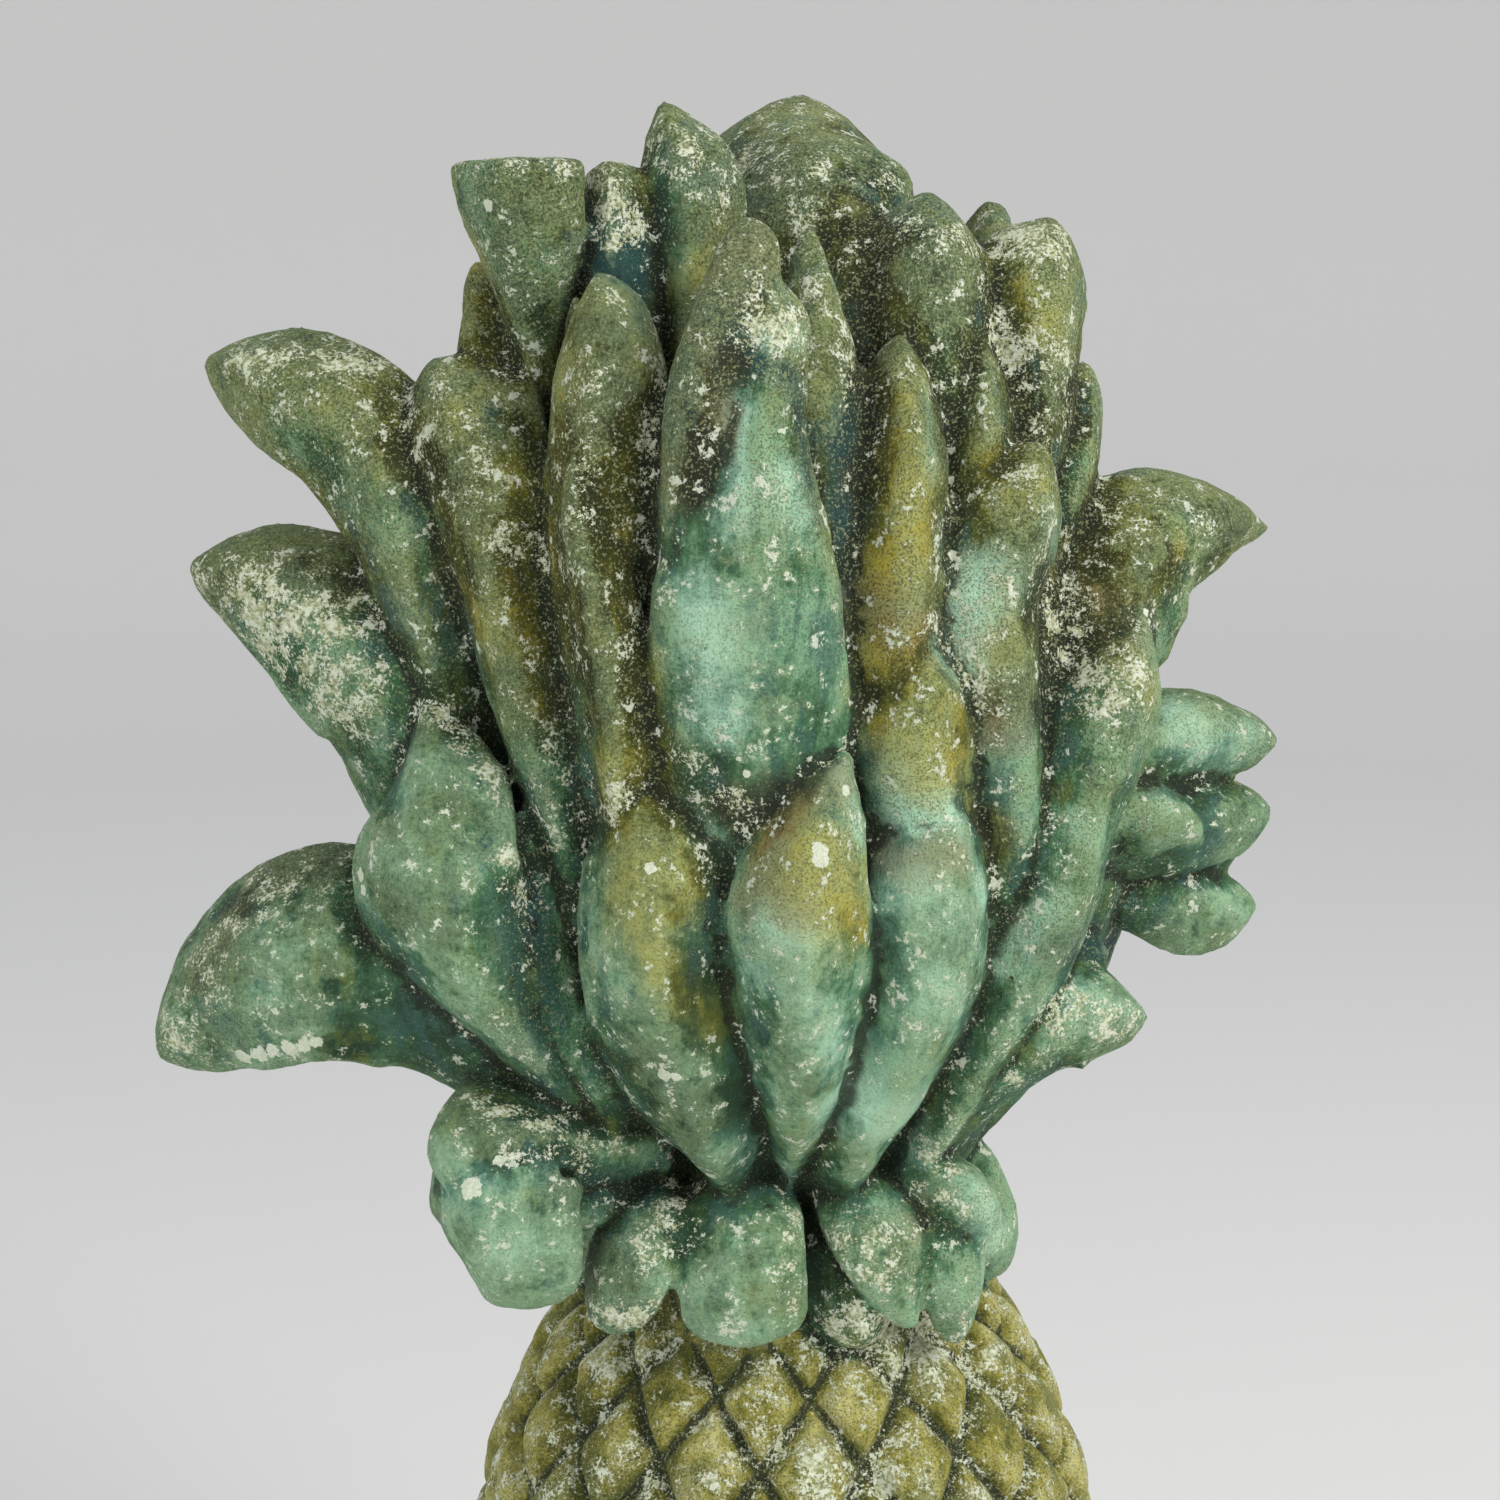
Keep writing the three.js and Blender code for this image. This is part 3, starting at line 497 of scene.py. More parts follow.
def applied(made, kind, **settings):
    """Adds a modifier and replaces the object's mesh with what it gives."""
    modifier = made.modifiers.new(kind.lower(), kind)
    for key, value in settings.items():
        setattr(modifier, key, value)
    graph = bpy.context.evaluated_depsgraph_get()
    mesh = bpy.data.meshes.new_from_object(made.evaluated_get(graph))
    made.modifiers.clear()
    made.data = mesh
    return mesh


def rows_of(items, key, width, stored, wanted):
    """One property of a mesh's points or edges, as an array with a row for each."""
    flat = np.empty(len(items) * width, stored)
    items.foreach_get(key, flat)
    return flat.reshape(-1, width).astype(wanted)


def places_of(mesh):
    return rows_of(mesh.vertices, "co", 3, np.float32, float)


def normals_of(mesh):
    return rows_of(mesh.vertices, "normal", 3, np.float32, float)


def edges_of(mesh):
    return rows_of(mesh.edges, "vertices", 2, np.int32, np.int32)


def put_places(mesh, points):
    mesh.vertices.foreach_set("co", points.astype(np.float32).ravel())
    mesh.update()


def evened(values, edges, rounds):
    """Moves each value towards the mean of its neighbours, a number of rounds."""
    values = values.reshape(len(values), -1).copy()
    count = len(values)
    ends = np.concatenate([edges[:, 0], edges[:, 1]])
    others = np.concatenate([edges[:, 1], edges[:, 0]])
    degree = np.maximum(np.bincount(ends, minlength=count), 1)
    for _ in range(rounds):
        for i in range(values.shape[1]):
            mean = np.bincount(ends, weights=values[others, i], minlength=count) / degree
            values[:, i] += 0.5 * (mean - values[:, i])
    return values


all_points, all_faces = [], []
for _, points, faces in shells:
    offset = sum(map(len, all_points))
    all_points.append(points)
    all_faces.extend(tuple(v + offset for v in face) for face in faces)
finial = object_from("stone_finial", np.concatenate(all_points), all_faces)
applied(finial, "REMESH", mode="VOXEL", voxel_size=voxel, adaptivity=0)
print("the melted skin has", len(finial.data.vertices), "points")

# %% [markdown]
# ## Weathering the skin
#
# Stone cast from a worn mould has no sharp line left, and rain has eaten small hollows into it. Evening
# each point out with its neighbours rounds the edges and fills the joins. Noise at three sizes then adds
# the slow unevenness of hand modelling, shallow dents, and pits. Moving real points rather than shading
# them keeps the roughness on the outline too.

# %% Weathering
def noise_at(points, size, seed):
    """Smooth noise of two octaves with lumps of a given size in metres, between about -1 and 1."""
    return np.array([noise.fractal(p, 1.0, 2.0, 2) for p in map(Vector, points / size + seed)])


mesh = finial.data
points = places_of(mesh)
soft = evened(points, edges_of(mesh), 2)
in_crown = np.clip((points[:, 2] - crown_bottom + 0.03) / 0.02, 0, 1)[:, None]
points = soft + (1 - in_crown) * 0.7 * (points - soft)
put_places(mesh, points)
outward = normals_of(mesh)
broad = noise_at(points, 0.030, 3.1)
dents = noise_at(points, 0.009, 7.7)
pits = noise_at(points, 0.0035, 1.3)
worn = 0.0006 * broad + 0.00045 * dents - 0.0005 * np.clip(pits - 0.25, 0, 1)
above_floor = np.clip(points[:, 2] / 0.004, 0, 1)  # the underside stays flat
put_places(mesh, points + outward * (worn * above_floor)[:, None])
print("wear moves the skin by up to", round(1000 * float(np.abs(worn).max()), 2), "mm")

# %% Fewer faces where the skin is flat
most_triangles = 192_000
mesh = applied(finial, "TRIANGULATE")
share_kept = min(1, most_triangles / len(mesh.polygons))
mesh = applied(finial, "DECIMATE", decimate_type="COLLAPSE", ratio=share_kept)
mesh.polygons.foreach_set("use_smooth", [True] * len(mesh.polygons))
print("the skin has", len(mesh.polygons), "triangles")

# %% [markdown]
# ## What the paint needs to know
#
# Weather paints by shape, and so does painted light. Grime settles in hollows and is deepened there by
# painted shade where little open sky reaches, edges are rubbed pale and painted as highlights, and lichen
# grows on tips and on what faces the sky. So each point of the skin gets a few numbers: how hollow it is,
# how exposed, how much open sky it sees, and which leaf it lies on. They are worked out once and stored on
# the mesh, so that no renderer has to find them again.

# %% Hollows, edges and open sky
points, outward, edges = places_of(mesh), normals_of(mesh), edges_of(mesh)


def hollow_at(rounds):
    """How far the evened skin stands above each point, in millimetres. Above 0 is hollow."""
    return 1000 * np.sum((evened(points, edges, rounds) - points) * outward, axis=1)


def between(values, low, high):
    return np.clip((values - low) / (high - low), 0, 1)


fine_hollow = hollow_at(4)
wide_hollow = hollow_at(30)
groove = between(fine_hollow, 0.03, 0.35)
ridge = between(-wide_hollow, 0.2, 1.6)
hollow = between(wide_hollow, 0.1, 1.6)

skin = BVHTree.FromPolygons([Vector(p) for p in points], [tuple(f.vertices) for f in mesh.polygons])
ray_count, reach = 14, 0.07  # metres
steps = np.arange(ray_count) + 0.5
golden = math.pi * (3 - 5**0.5)
rise = np.sqrt(1 - steps / ray_count)
lean = np.sqrt(1 - rise**2)
fan = np.stack([lean * np.cos(golden * steps), lean * np.sin(golden * steps), rise], axis=1)
helper = np.where(np.abs(outward[:, 2:]) < 0.9, [[0, 0, 1.0]], [[1.0, 0, 0]])
first = unit(np.cross(helper, outward))
second = np.cross(outward, first)
closed = np.zeros(len(points))
starts = points + 0.0012 * outward
for a, b, c in fan:
    directions = a * first + b * second + c * outward
    for i, (start, direction) in enumerate(zip(map(Vector, starts), map(Vector, directions))):
        hit = skin.ray_cast(start, direction, reach)[3]
        if hit is not None:
            closed[i] += 1 - hit / reach
closed = evened(closed / ray_count, edges, 2)[:, 0]
print("hollow share", round(float(hollow.mean()), 2), "closed share", round(float(closed.mean()), 2))

# %% Which leaf, and where on it
book = KDTree(len(leaf_points))
for i, (_, _, place) in enumerate(leaf_points):
    book.insert(place, i)
book.balance()
leaf_of = np.empty(len(points), int)
along = np.zeros(len(points))
off_leaf = np.zeros(len(points))
for i, place in enumerate(points):
    _, nearest, off_leaf[i] = book.find(place)
    leaf_of[i], along[i], _ = leaf_points[nearest]
least_gap = 0.0035  # a point nearer to a leaf's shell lies on the leaf
fruit_skin = (points[:, 2] < crown_bottom + sunk) & (off_leaf > least_gap)
print(len(set(leaf_of)), "shells show")

# %% [markdown]
# ## Marks
#
# Every old casting has marks of its own: an ochre flush on one leaf, a pale scrape on the next, a crust of
# lichen on a tip. They are listed by kind, as short strokes in the picture: a start, how far they reach
# across and down, a radius, all in pixels, and a strength in tenths. A ray from the eye finds each on the
# stone. The mark is then painted by distance on the skin, so it stays where it is from every side. "dark"
# darkens whatever paint is there, partly as grime and partly as painted shade, and "pale" lightens it as a
# painted highlight. The teal and brown marks also lie partly where shade falls, so they carry painted shade
# too. "smooth" keeps a place free of coarse sand.

# %% Marks
marks = {}
marks["ochre"] = [
    (455, 300, 45, 80, 26, 9), (380, 440, 140, 80, 40, 8), (450, 560, 70, 140, 34, 7),
    (560, 420, 40, 200, 40, 9), (600, 620, 40, 180, 36, 8), (600, 310, 40, 70, 34, 9),
    (610, 810, 70, 70, 40, 9), (640, 900, 60, 120, 30, 6), (790, 830, 50, 70, 46, 9),
    (860, 860, 2, 70, 12, 10), (880, 690, 60, 70, 44, 9), (960, 780, 30, 70, 26, 7),
    (900, 380, -20, 180, 34, 7), (1000, 470, 50, 0, 34, 10), (870, 260, -20, 100, 30, 6),
    (1070, 540, 60, 30, 50, 8), (1000, 640, 40, 0, 34, 6), (1110, 640, 40, 50, 26, 6),
    (1020, 290, 20, 40, 22, 8), (300, 400, 140, 20, 34, 5), (240, 570, 100, 30, 26, 5),
    (720, 220, -20, 60, 16, 8), (540, 480, 30, 160, 30, 8), (640, 500, 10, 200, 24, 6),
    (590, 330, 10, 230, 44, 11), (610, 600, 40, 180, 44, 11), (440, 440, 30, 80, 36, 10),
    (500, 560, 40, 140, 30, 9), (480, 260, -10, 80, 20, 12), (900, 400, -10, 160, 36, 10),
    (900, 660, 50, 80, 40, 11), (1040, 450, -30, 50, 26, 11), (1090, 500, 70, 60, 40, 9),
    (640, 830, 10, 70, 40, 11), (780, 850, 60, 50, 36, 11), (640, 920, 40, 80, 26, 8),
]
# brown stain, partly painted shade on shaded flanks and leaf tops
marks["brown"] = [
    (740, 240, -40, 240, 34, 9), (740, 240, 30, 20, 24, 7), (800, 160, 100, 100, 50, 5),
    (200, 970, 50, -80, 22, 12), (260, 880, 85, -35, 26, 13), (860, 400, -10, -60, 16, 8),
    (900, 240, 60, 60, 40, 6), (1040, 560, 80, 60, 44, 7), (860, 600, 60, 40, 44, 6),
    (730, 810, 110, -30, 30, 8), (745, 900, 45, -80, 20, 9), (870, 850, 90, 10, 26, 8),
    (780, 900, 20, 20, 20, 6), (985, 720, 55, -30, 30, 8), (1060, 400, -40, 40, 24, 5),
    (880, 240, -20, 240, 26, 8), (260, 880, 80, -30, 30, 7), (280, 560, 60, 20, 20, 6),
    (240, 355, 100, -10, 18, 5), (930, 1200, -30, 60, 24, 5),
]
marks["green"] = [
    (720, 520, 80, 240, 60, 12), (770, 480, 40, 220, 40, 10), (690, 650, 30, 110, 40, 10),
    (740, 390, 30, 110, 34, 11), (740, 170, 140, 0, 40, 6), (910, 230, 50, 80, 30, 6),
    (610, 250, 30, 80, 36, 9), (480, 190, 60, 110, 40, 8), (300, 430, 80, 70, 36, 8),
    (300, 640, 90, 100, 50, 8), (940, 740, 10, 80, 40, 8), (1080, 480, -40, 80, 30, 8),
    (940, 300, 20, 100, 30, 5), (660, 160, 20, 100, 26, 7), (640, 360, -30, 60, 26, 6),
    (1180, 540, -30, 100, 30, 8), (860, 360, -10, 120, 24, 8), (430, 500, 10, 60, 18, 8),
]
marks["mint"] = [
    (700, 600, 20, 120, 30, 8), (990, 580, -40, 80, 28, 12), (845, 775, 13, 55, 12, 12),
    (740, 400, -10, 120, 20, 8), (880, 890, 50, -10, 20, 10), (770, 920, 30, 10, 26, 10),
    (930, 760, -30, 90, 34, 9), (730, 330, 70, 10, 16, 7), (680, 800, 60, 60, 14, 5),
    (900, 940, 60, 60, 36, 6), (840, 1100, 60, 40, 40, 9), (950, 800, 35, 100, 14, 9),
    (1180, 720, 60, 30, 36, 7), (1170, 800, 70, 30, 30, 4), (440, 1180, 80, 60, 44, 8),
    (970, 1190, 25, 50, 22, 9), (720, 1150, 60, 15, 26, 7), (745, 960, 10, 120, 12, 5),
    (420, 760, -20, 100, 30, 5), (925, 390, 5, 80, 12, 10), (600, 1300, 60, -10, 20, 5),
    (1080, 990, 50, 20, 24, 6), (1045, 480, 10, 80, 16, 7), (950, 900, 35, 60, 30, 6),
    (800, 980, 40, 100, 30, 5), (300, 930, -40, 70, 30, 5), (780, 480, 20, 40, 20, 7),
    (1000, 960, 60, -60, 24, 5),
]
# dark teal stain, partly painted shade on shaded flanks and undersides
marks["teal"] = [
    (610, 240, 30, 90, 30, 13), (845, 420, 5, 160, 16, 12), (750, 350, 50, 40, 14, 10),
    (800, 420, 15, 100, 12, 8), (660, 200, 0, 100, 14, 6), (1060, 950, 50, -10, 26, 10),
    (530, 880, 20, 120, 12, 7), (640, 1040, 60, 90, 12, 4), (890, 700, -20, 60, 14, 9),
    (1020, 740, 30, -40, 16, 6), (500, 920, 40, 160, 26, 6), (230, 1030, 100, -20, 16, 6),
    (1130, 780, 50, 10, 16, 6), (600, 1290, 40, 20, 16, 5), (560, 1180, 80, 10, 24, 8),
    (820, 900, 10, 80, 14, 4), (1000, 300, 10, 20, 12, 5),
]
marks["lichen"] = [
    (450, 150, 125, 15, 20, 10), (590, 175, 30, 50, 22, 10), (640, 125, 80, 65, 24, 9),
    (730, 150, 150, 20, 30, 6), (800, 190, 40, 150, 40, 7), (745, 315, 50, 10, 26, 12),
    (900, 220, 70, 30, 34, 7), (990, 240, 90, 10, 30, 11), (1000, 330, 60, 70, 34, 8),
    (240, 360, 130, 0, 30, 10), (400, 380, 30, 50, 30, 7), (205, 580, 125, 40, 34, 12),
    (280, 640, 70, 60, 40, 11), (430, 700, 60, 60, 26, 12), (480, 480, 60, 80, 30, 6),
    (520, 600, 40, 160, 34, 5), (640, 300, -80, 140, 30, 5), (640, 560, 0, 140, 24, 5),
    (700, 770, 60, 30, 28, 8), (170, 1050, 50, -80, 30, 9), (240, 920, 90, -60, 40, 6),
    (490, 1110, 110, 30, 36, 9), (1060, 1010, 80, 20, 30, 9), (960, 1110, 80, -50, 36, 6),
    (1060, 650, 60, 40, 36, 9), (1040, 560, 20, 80, 40, 8), (940, 640, 40, 60, 24, 6),
    (590, 1315, 60, 5, 18, 14), (690, 1190, -50, 70, 22, 9), (830, 1230, 70, 50, 34, 8),
    (760, 1430, 100, 60, 40, 9), (960, 1340, 40, 60, 36, 10), (850, 1330, 80, 20, 36, 13),
    (680, 1340, -80, 30, 34, 9), (930, 1150, 40, 70, 24, 9), (1120, 510, 120, 20, 36, 5),
    (790, 1200, 2, 100, 14, 9), (560, 820, 60, -20, 24, 9), (980, 600, 10, 100, 16, 8),
    (660, 380, -10, 100, 14, 8), (520, 900, -20, -40, 20, 8), (590, 430, -30, 130, 20, 6),
    (720, 1400, -20, 80, 30, 7), (540, 1420, 60, 60, 40, 6), (500, 860, 30, 40, 16, 8),
]
# darker patches: partly grime, partly painted shade
marks["dark"] = [
    (860, 250, -5, 170, 26, 17), (975, 260, 15, 70, 16, 12), (740, 180, 140, 0, 36, 14),
    (490, 200, 40, 90, 26, 11), (640, 220, 80, 20, 18, 6), (270, 880, 70, -30, 22, 17),
    (470, 1120, 90, 20, 24, 16), (600, 330, 10, 90, 28, 12), (575, 440, 15, 120, 20, 12),
    (430, 820, 0, 80, 36, 12), (1080, 520, 70, 40, 34, 15), (1200, 515, 40, 10, 20, 14),
    (1040, 600, 40, 40, 24, 12), (700, 1230, 70, 60, 34, 12), (640, 1060, 80, 70, 26, 15),
    (770, 1040, 50, 50, 26, 10), (670, 380, 30, 90, 22, 13), (600, 1250, 50, 50, 24, 8),
    (1180, 800, 50, 30, 26, 4), (460, 480, 20, 80, 20, 8), (575, 1190, 15, 90, 16, 16),
    (440, 1200, 80, 40, 40, 9), (870, 500, -10, 60, 14, 9), (520, 880, 20, 130, 16, 6),
    (910, 220, 40, 80, 34, 12), (270, 560, 60, 40, 24, 6), (1070, 380, 20, 40, 14, 7),
    (840, 1240, 60, 30, 22, 7), (480, 290, 0, 50, 16, 8), (640, 720, -40, -160, 20, 5),
]
# lighter patches: painted highlight
marks["pale"] = [
    (730, 420, 30, 50, 22, 20), (880, 580, -10, 60, 24, 21), (960, 580, 25, 100, 20, 22),
    (1000, 740, 20, 60, 16, 23), (900, 760, 30, 50, 24, 22), (900, 860, 40, 10, 16, 14),
    (860, 1060, 40, 50, 26, 24), (800, 850, 20, 50, 24, 11), (1000, 960, 50, -40, 16, 18),
    (1010, 270, 30, 30, 18, 11), (825, 1410, 0, 20, 22, 14), (700, 1420, 10, 10, 20, 8),
    (640, 860, 10, 40, 24, 8), (990, 1200, 10, 40, 10, 13), (760, 320, 20, 5, 20, 4),
    (330, 650, 40, 50, 20, 6), (620, 1440, 20, 10, 18, 6), (1200, 890, 30, 10, 16, 6),
    (1060, 1030, 50, -20, 20, 7), (690, 600, 50, 40, 24, 4), (560, 1150, 80, 10, 16, 6),
]
marks["smooth"] = [
    (690, 560, 110, 180, 70, 7), (640, 940, 100, 180, 60, 6), (800, 960, 30, 140, 50, 6),
    (900, 900, -20, 220, 60, 7), (440, 800, -10, 140, 50, 6), (280, 960, 120, 70, 50, 6),
    (450, 1180, 80, 70, 50, 7), (1170, 740, 70, 160, 60, 5), (620, 250, 20, 80, 36, 8),
    (740, 1230, 20, 90, 50, 4), (660, 170, 20, 110, 26, 5), (1030, 1000, 70, -20, 40, 3),
]
pixel = distance / focal  # metres on the stone
fade_on_leaf, fade_beyond = 0.7, 1.8  # a mark fades faster off the leaf that it lies on
painted = {}
for kind, strokes in marks.items():
    amount = np.zeros(len(points))
    for x, y, across, down, radius, tenths in strokes:
        dabs = max(2, int(math.hypot(across, down) / (0.5 * radius)) + 1)
        for share in np.linspace(0, 1, dabs):
            ray = ray_through(x + share * across, y + share * down)
            spot, _, face, _ = skin.ray_cast(eye, ray)
            if spot is None:
                continue
            away = np.linalg.norm(points - np.array(spot), axis=1) / (radius * pixel)
            own = leaf_of == leaf_of[mesh.polygons[face].vertices[0]]
            fade = np.where(own, fade_on_leaf, fade_beyond)
            amount = np.maximum(amount, tenths / 10 * np.exp(-away**2 * fade))
    painted[kind] = amount
    print(kind, len(strokes), "strokes cover", round(float((amount > 0.4).mean()), 3), "of the skin")

# %% [markdown]
# ## Paint where no mark is listed
#
# The sides and the back weather by rules: lichen on tips and on what looks up, ochre high in the crown,
# green below. Each leaf is also a shade lighter or darker than the next, as hand-laid paint is.

# %% Paint by shape
upward_share = between(outward[:, 2], -0.1, 0.9)
height_share = between(points[:, 2], crown_bottom, crown_bottom + crown_height)
slow = 0.5 + 0.5 * noise_at(points, 0.05, 11.0)
facing_front = between(-outward[:, 1], -0.2, 0.3) * between(0.06 - points[:, 1], 0, 0.03)
unseen = 1 - facing_front
on_fruit = fruit_skin.astype(float)
turn_of = np.degrees(np.arctan2(points[:, 0], -points[:, 1]))
row_of = np.interp((points[:, 2] - fruit_bottom) / fruit_height, row_shares, rows)
fruit_groove = 1 - between(lattice(turn_of, row_of)[0], 0.02, 0.11)
low = between(height_share, 0.66, 0.36) * (1 - on_fruit)
tips = between(along, 0.7, 1) * upward_share
# painted shade: darker where the skin sees little open sky
closed_in_shade = 0.8 * between(closed, 0.3, 0.8)
base_clear = 0.01  # the base has no lattice
amounts = {
    "ochre": np.maximum(painted["ochre"], unseen * 0.7 * height_share * slow),
    # brown, partly painted shade where marked
    "brown": np.maximum(painted["brown"], unseen * 0.5 * height_share * (1 - slow)),
    "green": np.clip(low + painted["green"], 0, 1.2),
    # ridges low in the crown turn mint, partly as a painted highlight
    "mint": np.maximum(painted["mint"], 0.3 * ridge * low),
    # dark teal, partly painted shade
    "teal": painted["teal"],
    "lichen": np.maximum(painted["lichen"], 0.5 * tips + 0.3 * upward_share * unseen + 0.25 * on_fruit),
    "coarse": np.clip(0.3 + 0.7 * height_share + 0.4 * on_fruit + 0.3 * slow - painted["smooth"], 0, 1),
    # grime in grooves and hollows, together with painted shade where little sky reaches
    "grime": np.clip(0.8 * groove + 0.3 * hollow + closed_in_shade, 0, 1) * (1 - 0.4 * on_fruit),
    "seam": fruit_groove * on_fruit * (points[:, 2] > fruit_bottom + base_clear),
    # rubbed edges, also painted as highlights
    "rubbed": ridge,
    "shade": (leaf_of * 0.618) % 1,
    # painted highlight from the pale marks, minus darkening that is partly painted shade
    "tone": painted["pale"] - painted["dark"],
    "fruit": evened(on_fruit, edges, 2)[:, 0],
}
for name, values in amounts.items():
    layer = mesh.attributes.new(name, "FLOAT", "POINT")
    layer.data.foreach_set("value", values.astype(np.float32))
print("layers:", ", ".join(amounts))

# %% [markdown]
# ## Shader sums
#
# A material is a small program of nodes, long and hard to read when it is written call by call. So a socket
# is wrapped in a class that knows arithmetic: `a * b + 0.2` adds the Math nodes itself. Any other node, from
# a noise to a mix of two colours, comes from one method.

# %% Shader helpers
def linear(colour):
    """A colour as it is read off a screen, from 0 to 255, in the linear values that a shader needs."""
    return tuple(((v / 255 + 0.055) / 1.055) ** 2.4 for v in colour)


class Wire:
    """An output socket in a material's node tree, on which arithmetic adds Math nodes."""

    def __init__(self, tree, socket):
        self.tree = tree
        self.socket = socket

    def node(self, kind, settings=None, inputs=None, output=0):
        """Adds a node: its settings are set first, then the values or links of its sockets."""
        made = self.tree.nodes.new(kind)
        for key, value in (settings or {}).items():
            if key == "stops":
                ramp = made.color_ramp.elements
                while len(ramp) < len(value):
                    ramp.new(0.5)
                for element, (place, colour) in zip(ramp, value):
                    element.position, element.color = place, (*linear(colour), 1)
            else:
                setattr(made, key, value)
        for key, value in (inputs or {}).items():
            if isinstance(value, Wire):
                self.tree.links.new(value.socket, made.inputs[key])
            elif isinstance(value, tuple) and made.inputs[key].type == "RGBA":
                made.inputs[key].default_value = (*linear(value), 1)
            else:
                made.inputs[key].default_value = value
        return Wire(self.tree, made.outputs[output])

    def math(self, operation, *values):
        return self.node("ShaderNodeMath", {"operation": operation}, dict(enumerate(values)))

    def __add__(self, other):
        return self.math("ADD", self, other)

    def __sub__(self, other):
        return self.math("SUBTRACT", self, other)

    def __rsub__(self, other):
        return self.math("SUBTRACT", other, self)

    def __mul__(self, other):
        return self.math("MULTIPLY", self, other)

    __radd__, __rmul__ = __add__, __mul__

    def rise(self, low, high):
        """0 below `low`, 1 above `high`, and a soft step between."""
        settings = {"interpolation_type": "SMOOTHSTEP"}
        return self.node("ShaderNodeMapRange", settings, {0: self, 1: low, 2: high})

    def tint(self, under, over):
        """Mixes a colour over another by this amount."""
        return self.node("ShaderNodeMix", {"data_type": "RGBA"}, {0: self, 6: under, 7: over}, output=2)

    def ramp(self, *stops):
        """Turns the amount into a colour between the colours at its stops."""
        return self.node("ShaderNodeValToRGB", {"stops": stops}, {0: self})


# %% [markdown]
# ## The finish
#
# Thin old paint and copper-green stain lie over grey cast stone. High in the crown the body colour is a dull
# olive, lower down a mint green, and both wander between dark and pale in patches of several sizes; the pale
# marks and the ridges push it paler as a painted highlight, and the dark marks push it darker, partly as
# painted shade. The marks tint it, each broken by noise so that no edge looks airbrushed; the teal and brown
# ones carry some painted shade. Grime and painted shade darken the grooves and the closed-in places, and
# rubbed edges are lightened, partly as a painted highlight. Fine grain makes it look like stone: dark pits,
# pale grains, and cream crumbs of lichen that crowd together where its amount is high. Nodes in space do not
# stretch, as a picture laid on the stone would.

# %% Weathered stone
stone = bpy.data.materials.new("weathered_stone")
stone.use_nodes = True
tree = stone.node_tree
tree.nodes.clear()
start = Wire(tree, None)
where = start.node("ShaderNodeTexCoord", output=3)
upright = start.node("ShaderNodeVectorMath", {"operation": "MULTIPLY"}, {0: where, 1: (1, 1, 0.22)})


def speckle(size, detail, roughness=0.6, place=where):
    """Noise with grains of a size in metres."""
    inputs = {"Vector": place, "Scale": 1 / size, "Detail": detail, "Roughness": roughness}
    return start.node("ShaderNodeTexNoise", {}, inputs)


def layer(name):
    return start.node("ShaderNodeAttribute", {"attribute_name": name}, output=2)


clouds = speckle(0.045, 3)
patches = speckle(0.014, 4)
blotches = speckle(0.0055, 4)
grain = speckle(0.0018, 3, 0.7)
pits = speckle(0.0006, 2, 0.75)
crumbs = speckle(0.0009, 4, 0.75)
glints = speckle(0.0008, 1, 0.7)
hues = speckle(0.021, 4)
streaks = speckle(0.005, 4, 0.65, upright)
coarse = layer("coarse")
lichen = layer("lichen")

wander = clouds * 0.25 + patches * 0.35 + streaks * 0.3 + blotches * 0.15 + grain * 0.15
# ridges and pale marks lighten it as a painted highlight; dark marks darken it, partly as painted shade
wander = wander + layer("shade") * 0.08 + layer("rubbed") * 0.08 + layer("tone") * 0.11 - lichen * 0.04
wander = wander.rise(0.54, 0.80)
olive = wander.ramp((0, (38, 46, 14)), (0.5, (80, 90, 36)), (1, (130, 138, 82)))
green = wander.ramp((0, (36, 66, 40)), (0.5, (70, 114, 78)), (1, (128, 170, 134)))
coat = wander.ramp((0, (84, 86, 22)), (0.5, (150, 144, 58)), (1, (200, 194, 124)))
coat = (hues.rise(0.5, 0.62) * 0.6).tint(coat, (98, 106, 58))
mint = wander.ramp((0, (98, 150, 124)), (1, (190, 232, 202)))


def broken(name, softness=0.8):
    """A painted amount, broken up by the patches and the blotches."""
    uneven = layer(name) + (patches - 0.5) * 0.8 + (blotches - 0.5) * 0.5 + (grain - 0.5) * 0.3
    return uneven.rise(0.5 - softness / 2, 0.5 + softness / 2)


body = broken("green", 0.7).tint(olive, green)
flush = (streaks * 0.5 + hues * 0.5).rise(0.52, 0.64) * 0.6
body = flush.tint(body, (104, 110, 28))
chill = (hues + (streaks - 0.5) * 0.6).rise(0.47, 0.36) * 0.5
body = chill.tint(body, (66, 108, 102))
# dark teal stain, partly painted shade
body = (broken("teal") * 0.85).tint(body, (34, 72, 72))
body = (broken("mint") * 0.8).tint(body, mint)
ochre = wander.ramp((0, (50, 52, 0)), (0.5, (102, 98, 6)), (1, (170, 156, 48)))
body = (broken("ochre") * 0.9).tint(body, ochre)
# brown stain, partly painted shade
brown = wander.ramp((0, (38, 32, 18)), (0.5, (76, 66, 40)), (1, (130, 114, 80)))
body = (broken("brown") * 0.75).tint(body, brown)
# edges rubbed pale, partly a painted highlight
worn_and_highlit_edge = (layer("rubbed") + (blotches - 0.5) * 1.2 + (grain - 0.5) * 0.8).rise(0.6, 1.05)
body = (worn_and_highlit_edge * 0.4).tint(body, (150, 172, 124))
body = (layer("fruit") + (grain - 0.5) * 0.5).rise(0.35, 0.65).tint(body, coat)

seams = (layer("seam") + (blotches - 0.5) * 0.6).rise(0.35, 0.75)
body = (seams * 0.85).tint(body, (48, 58, 38))
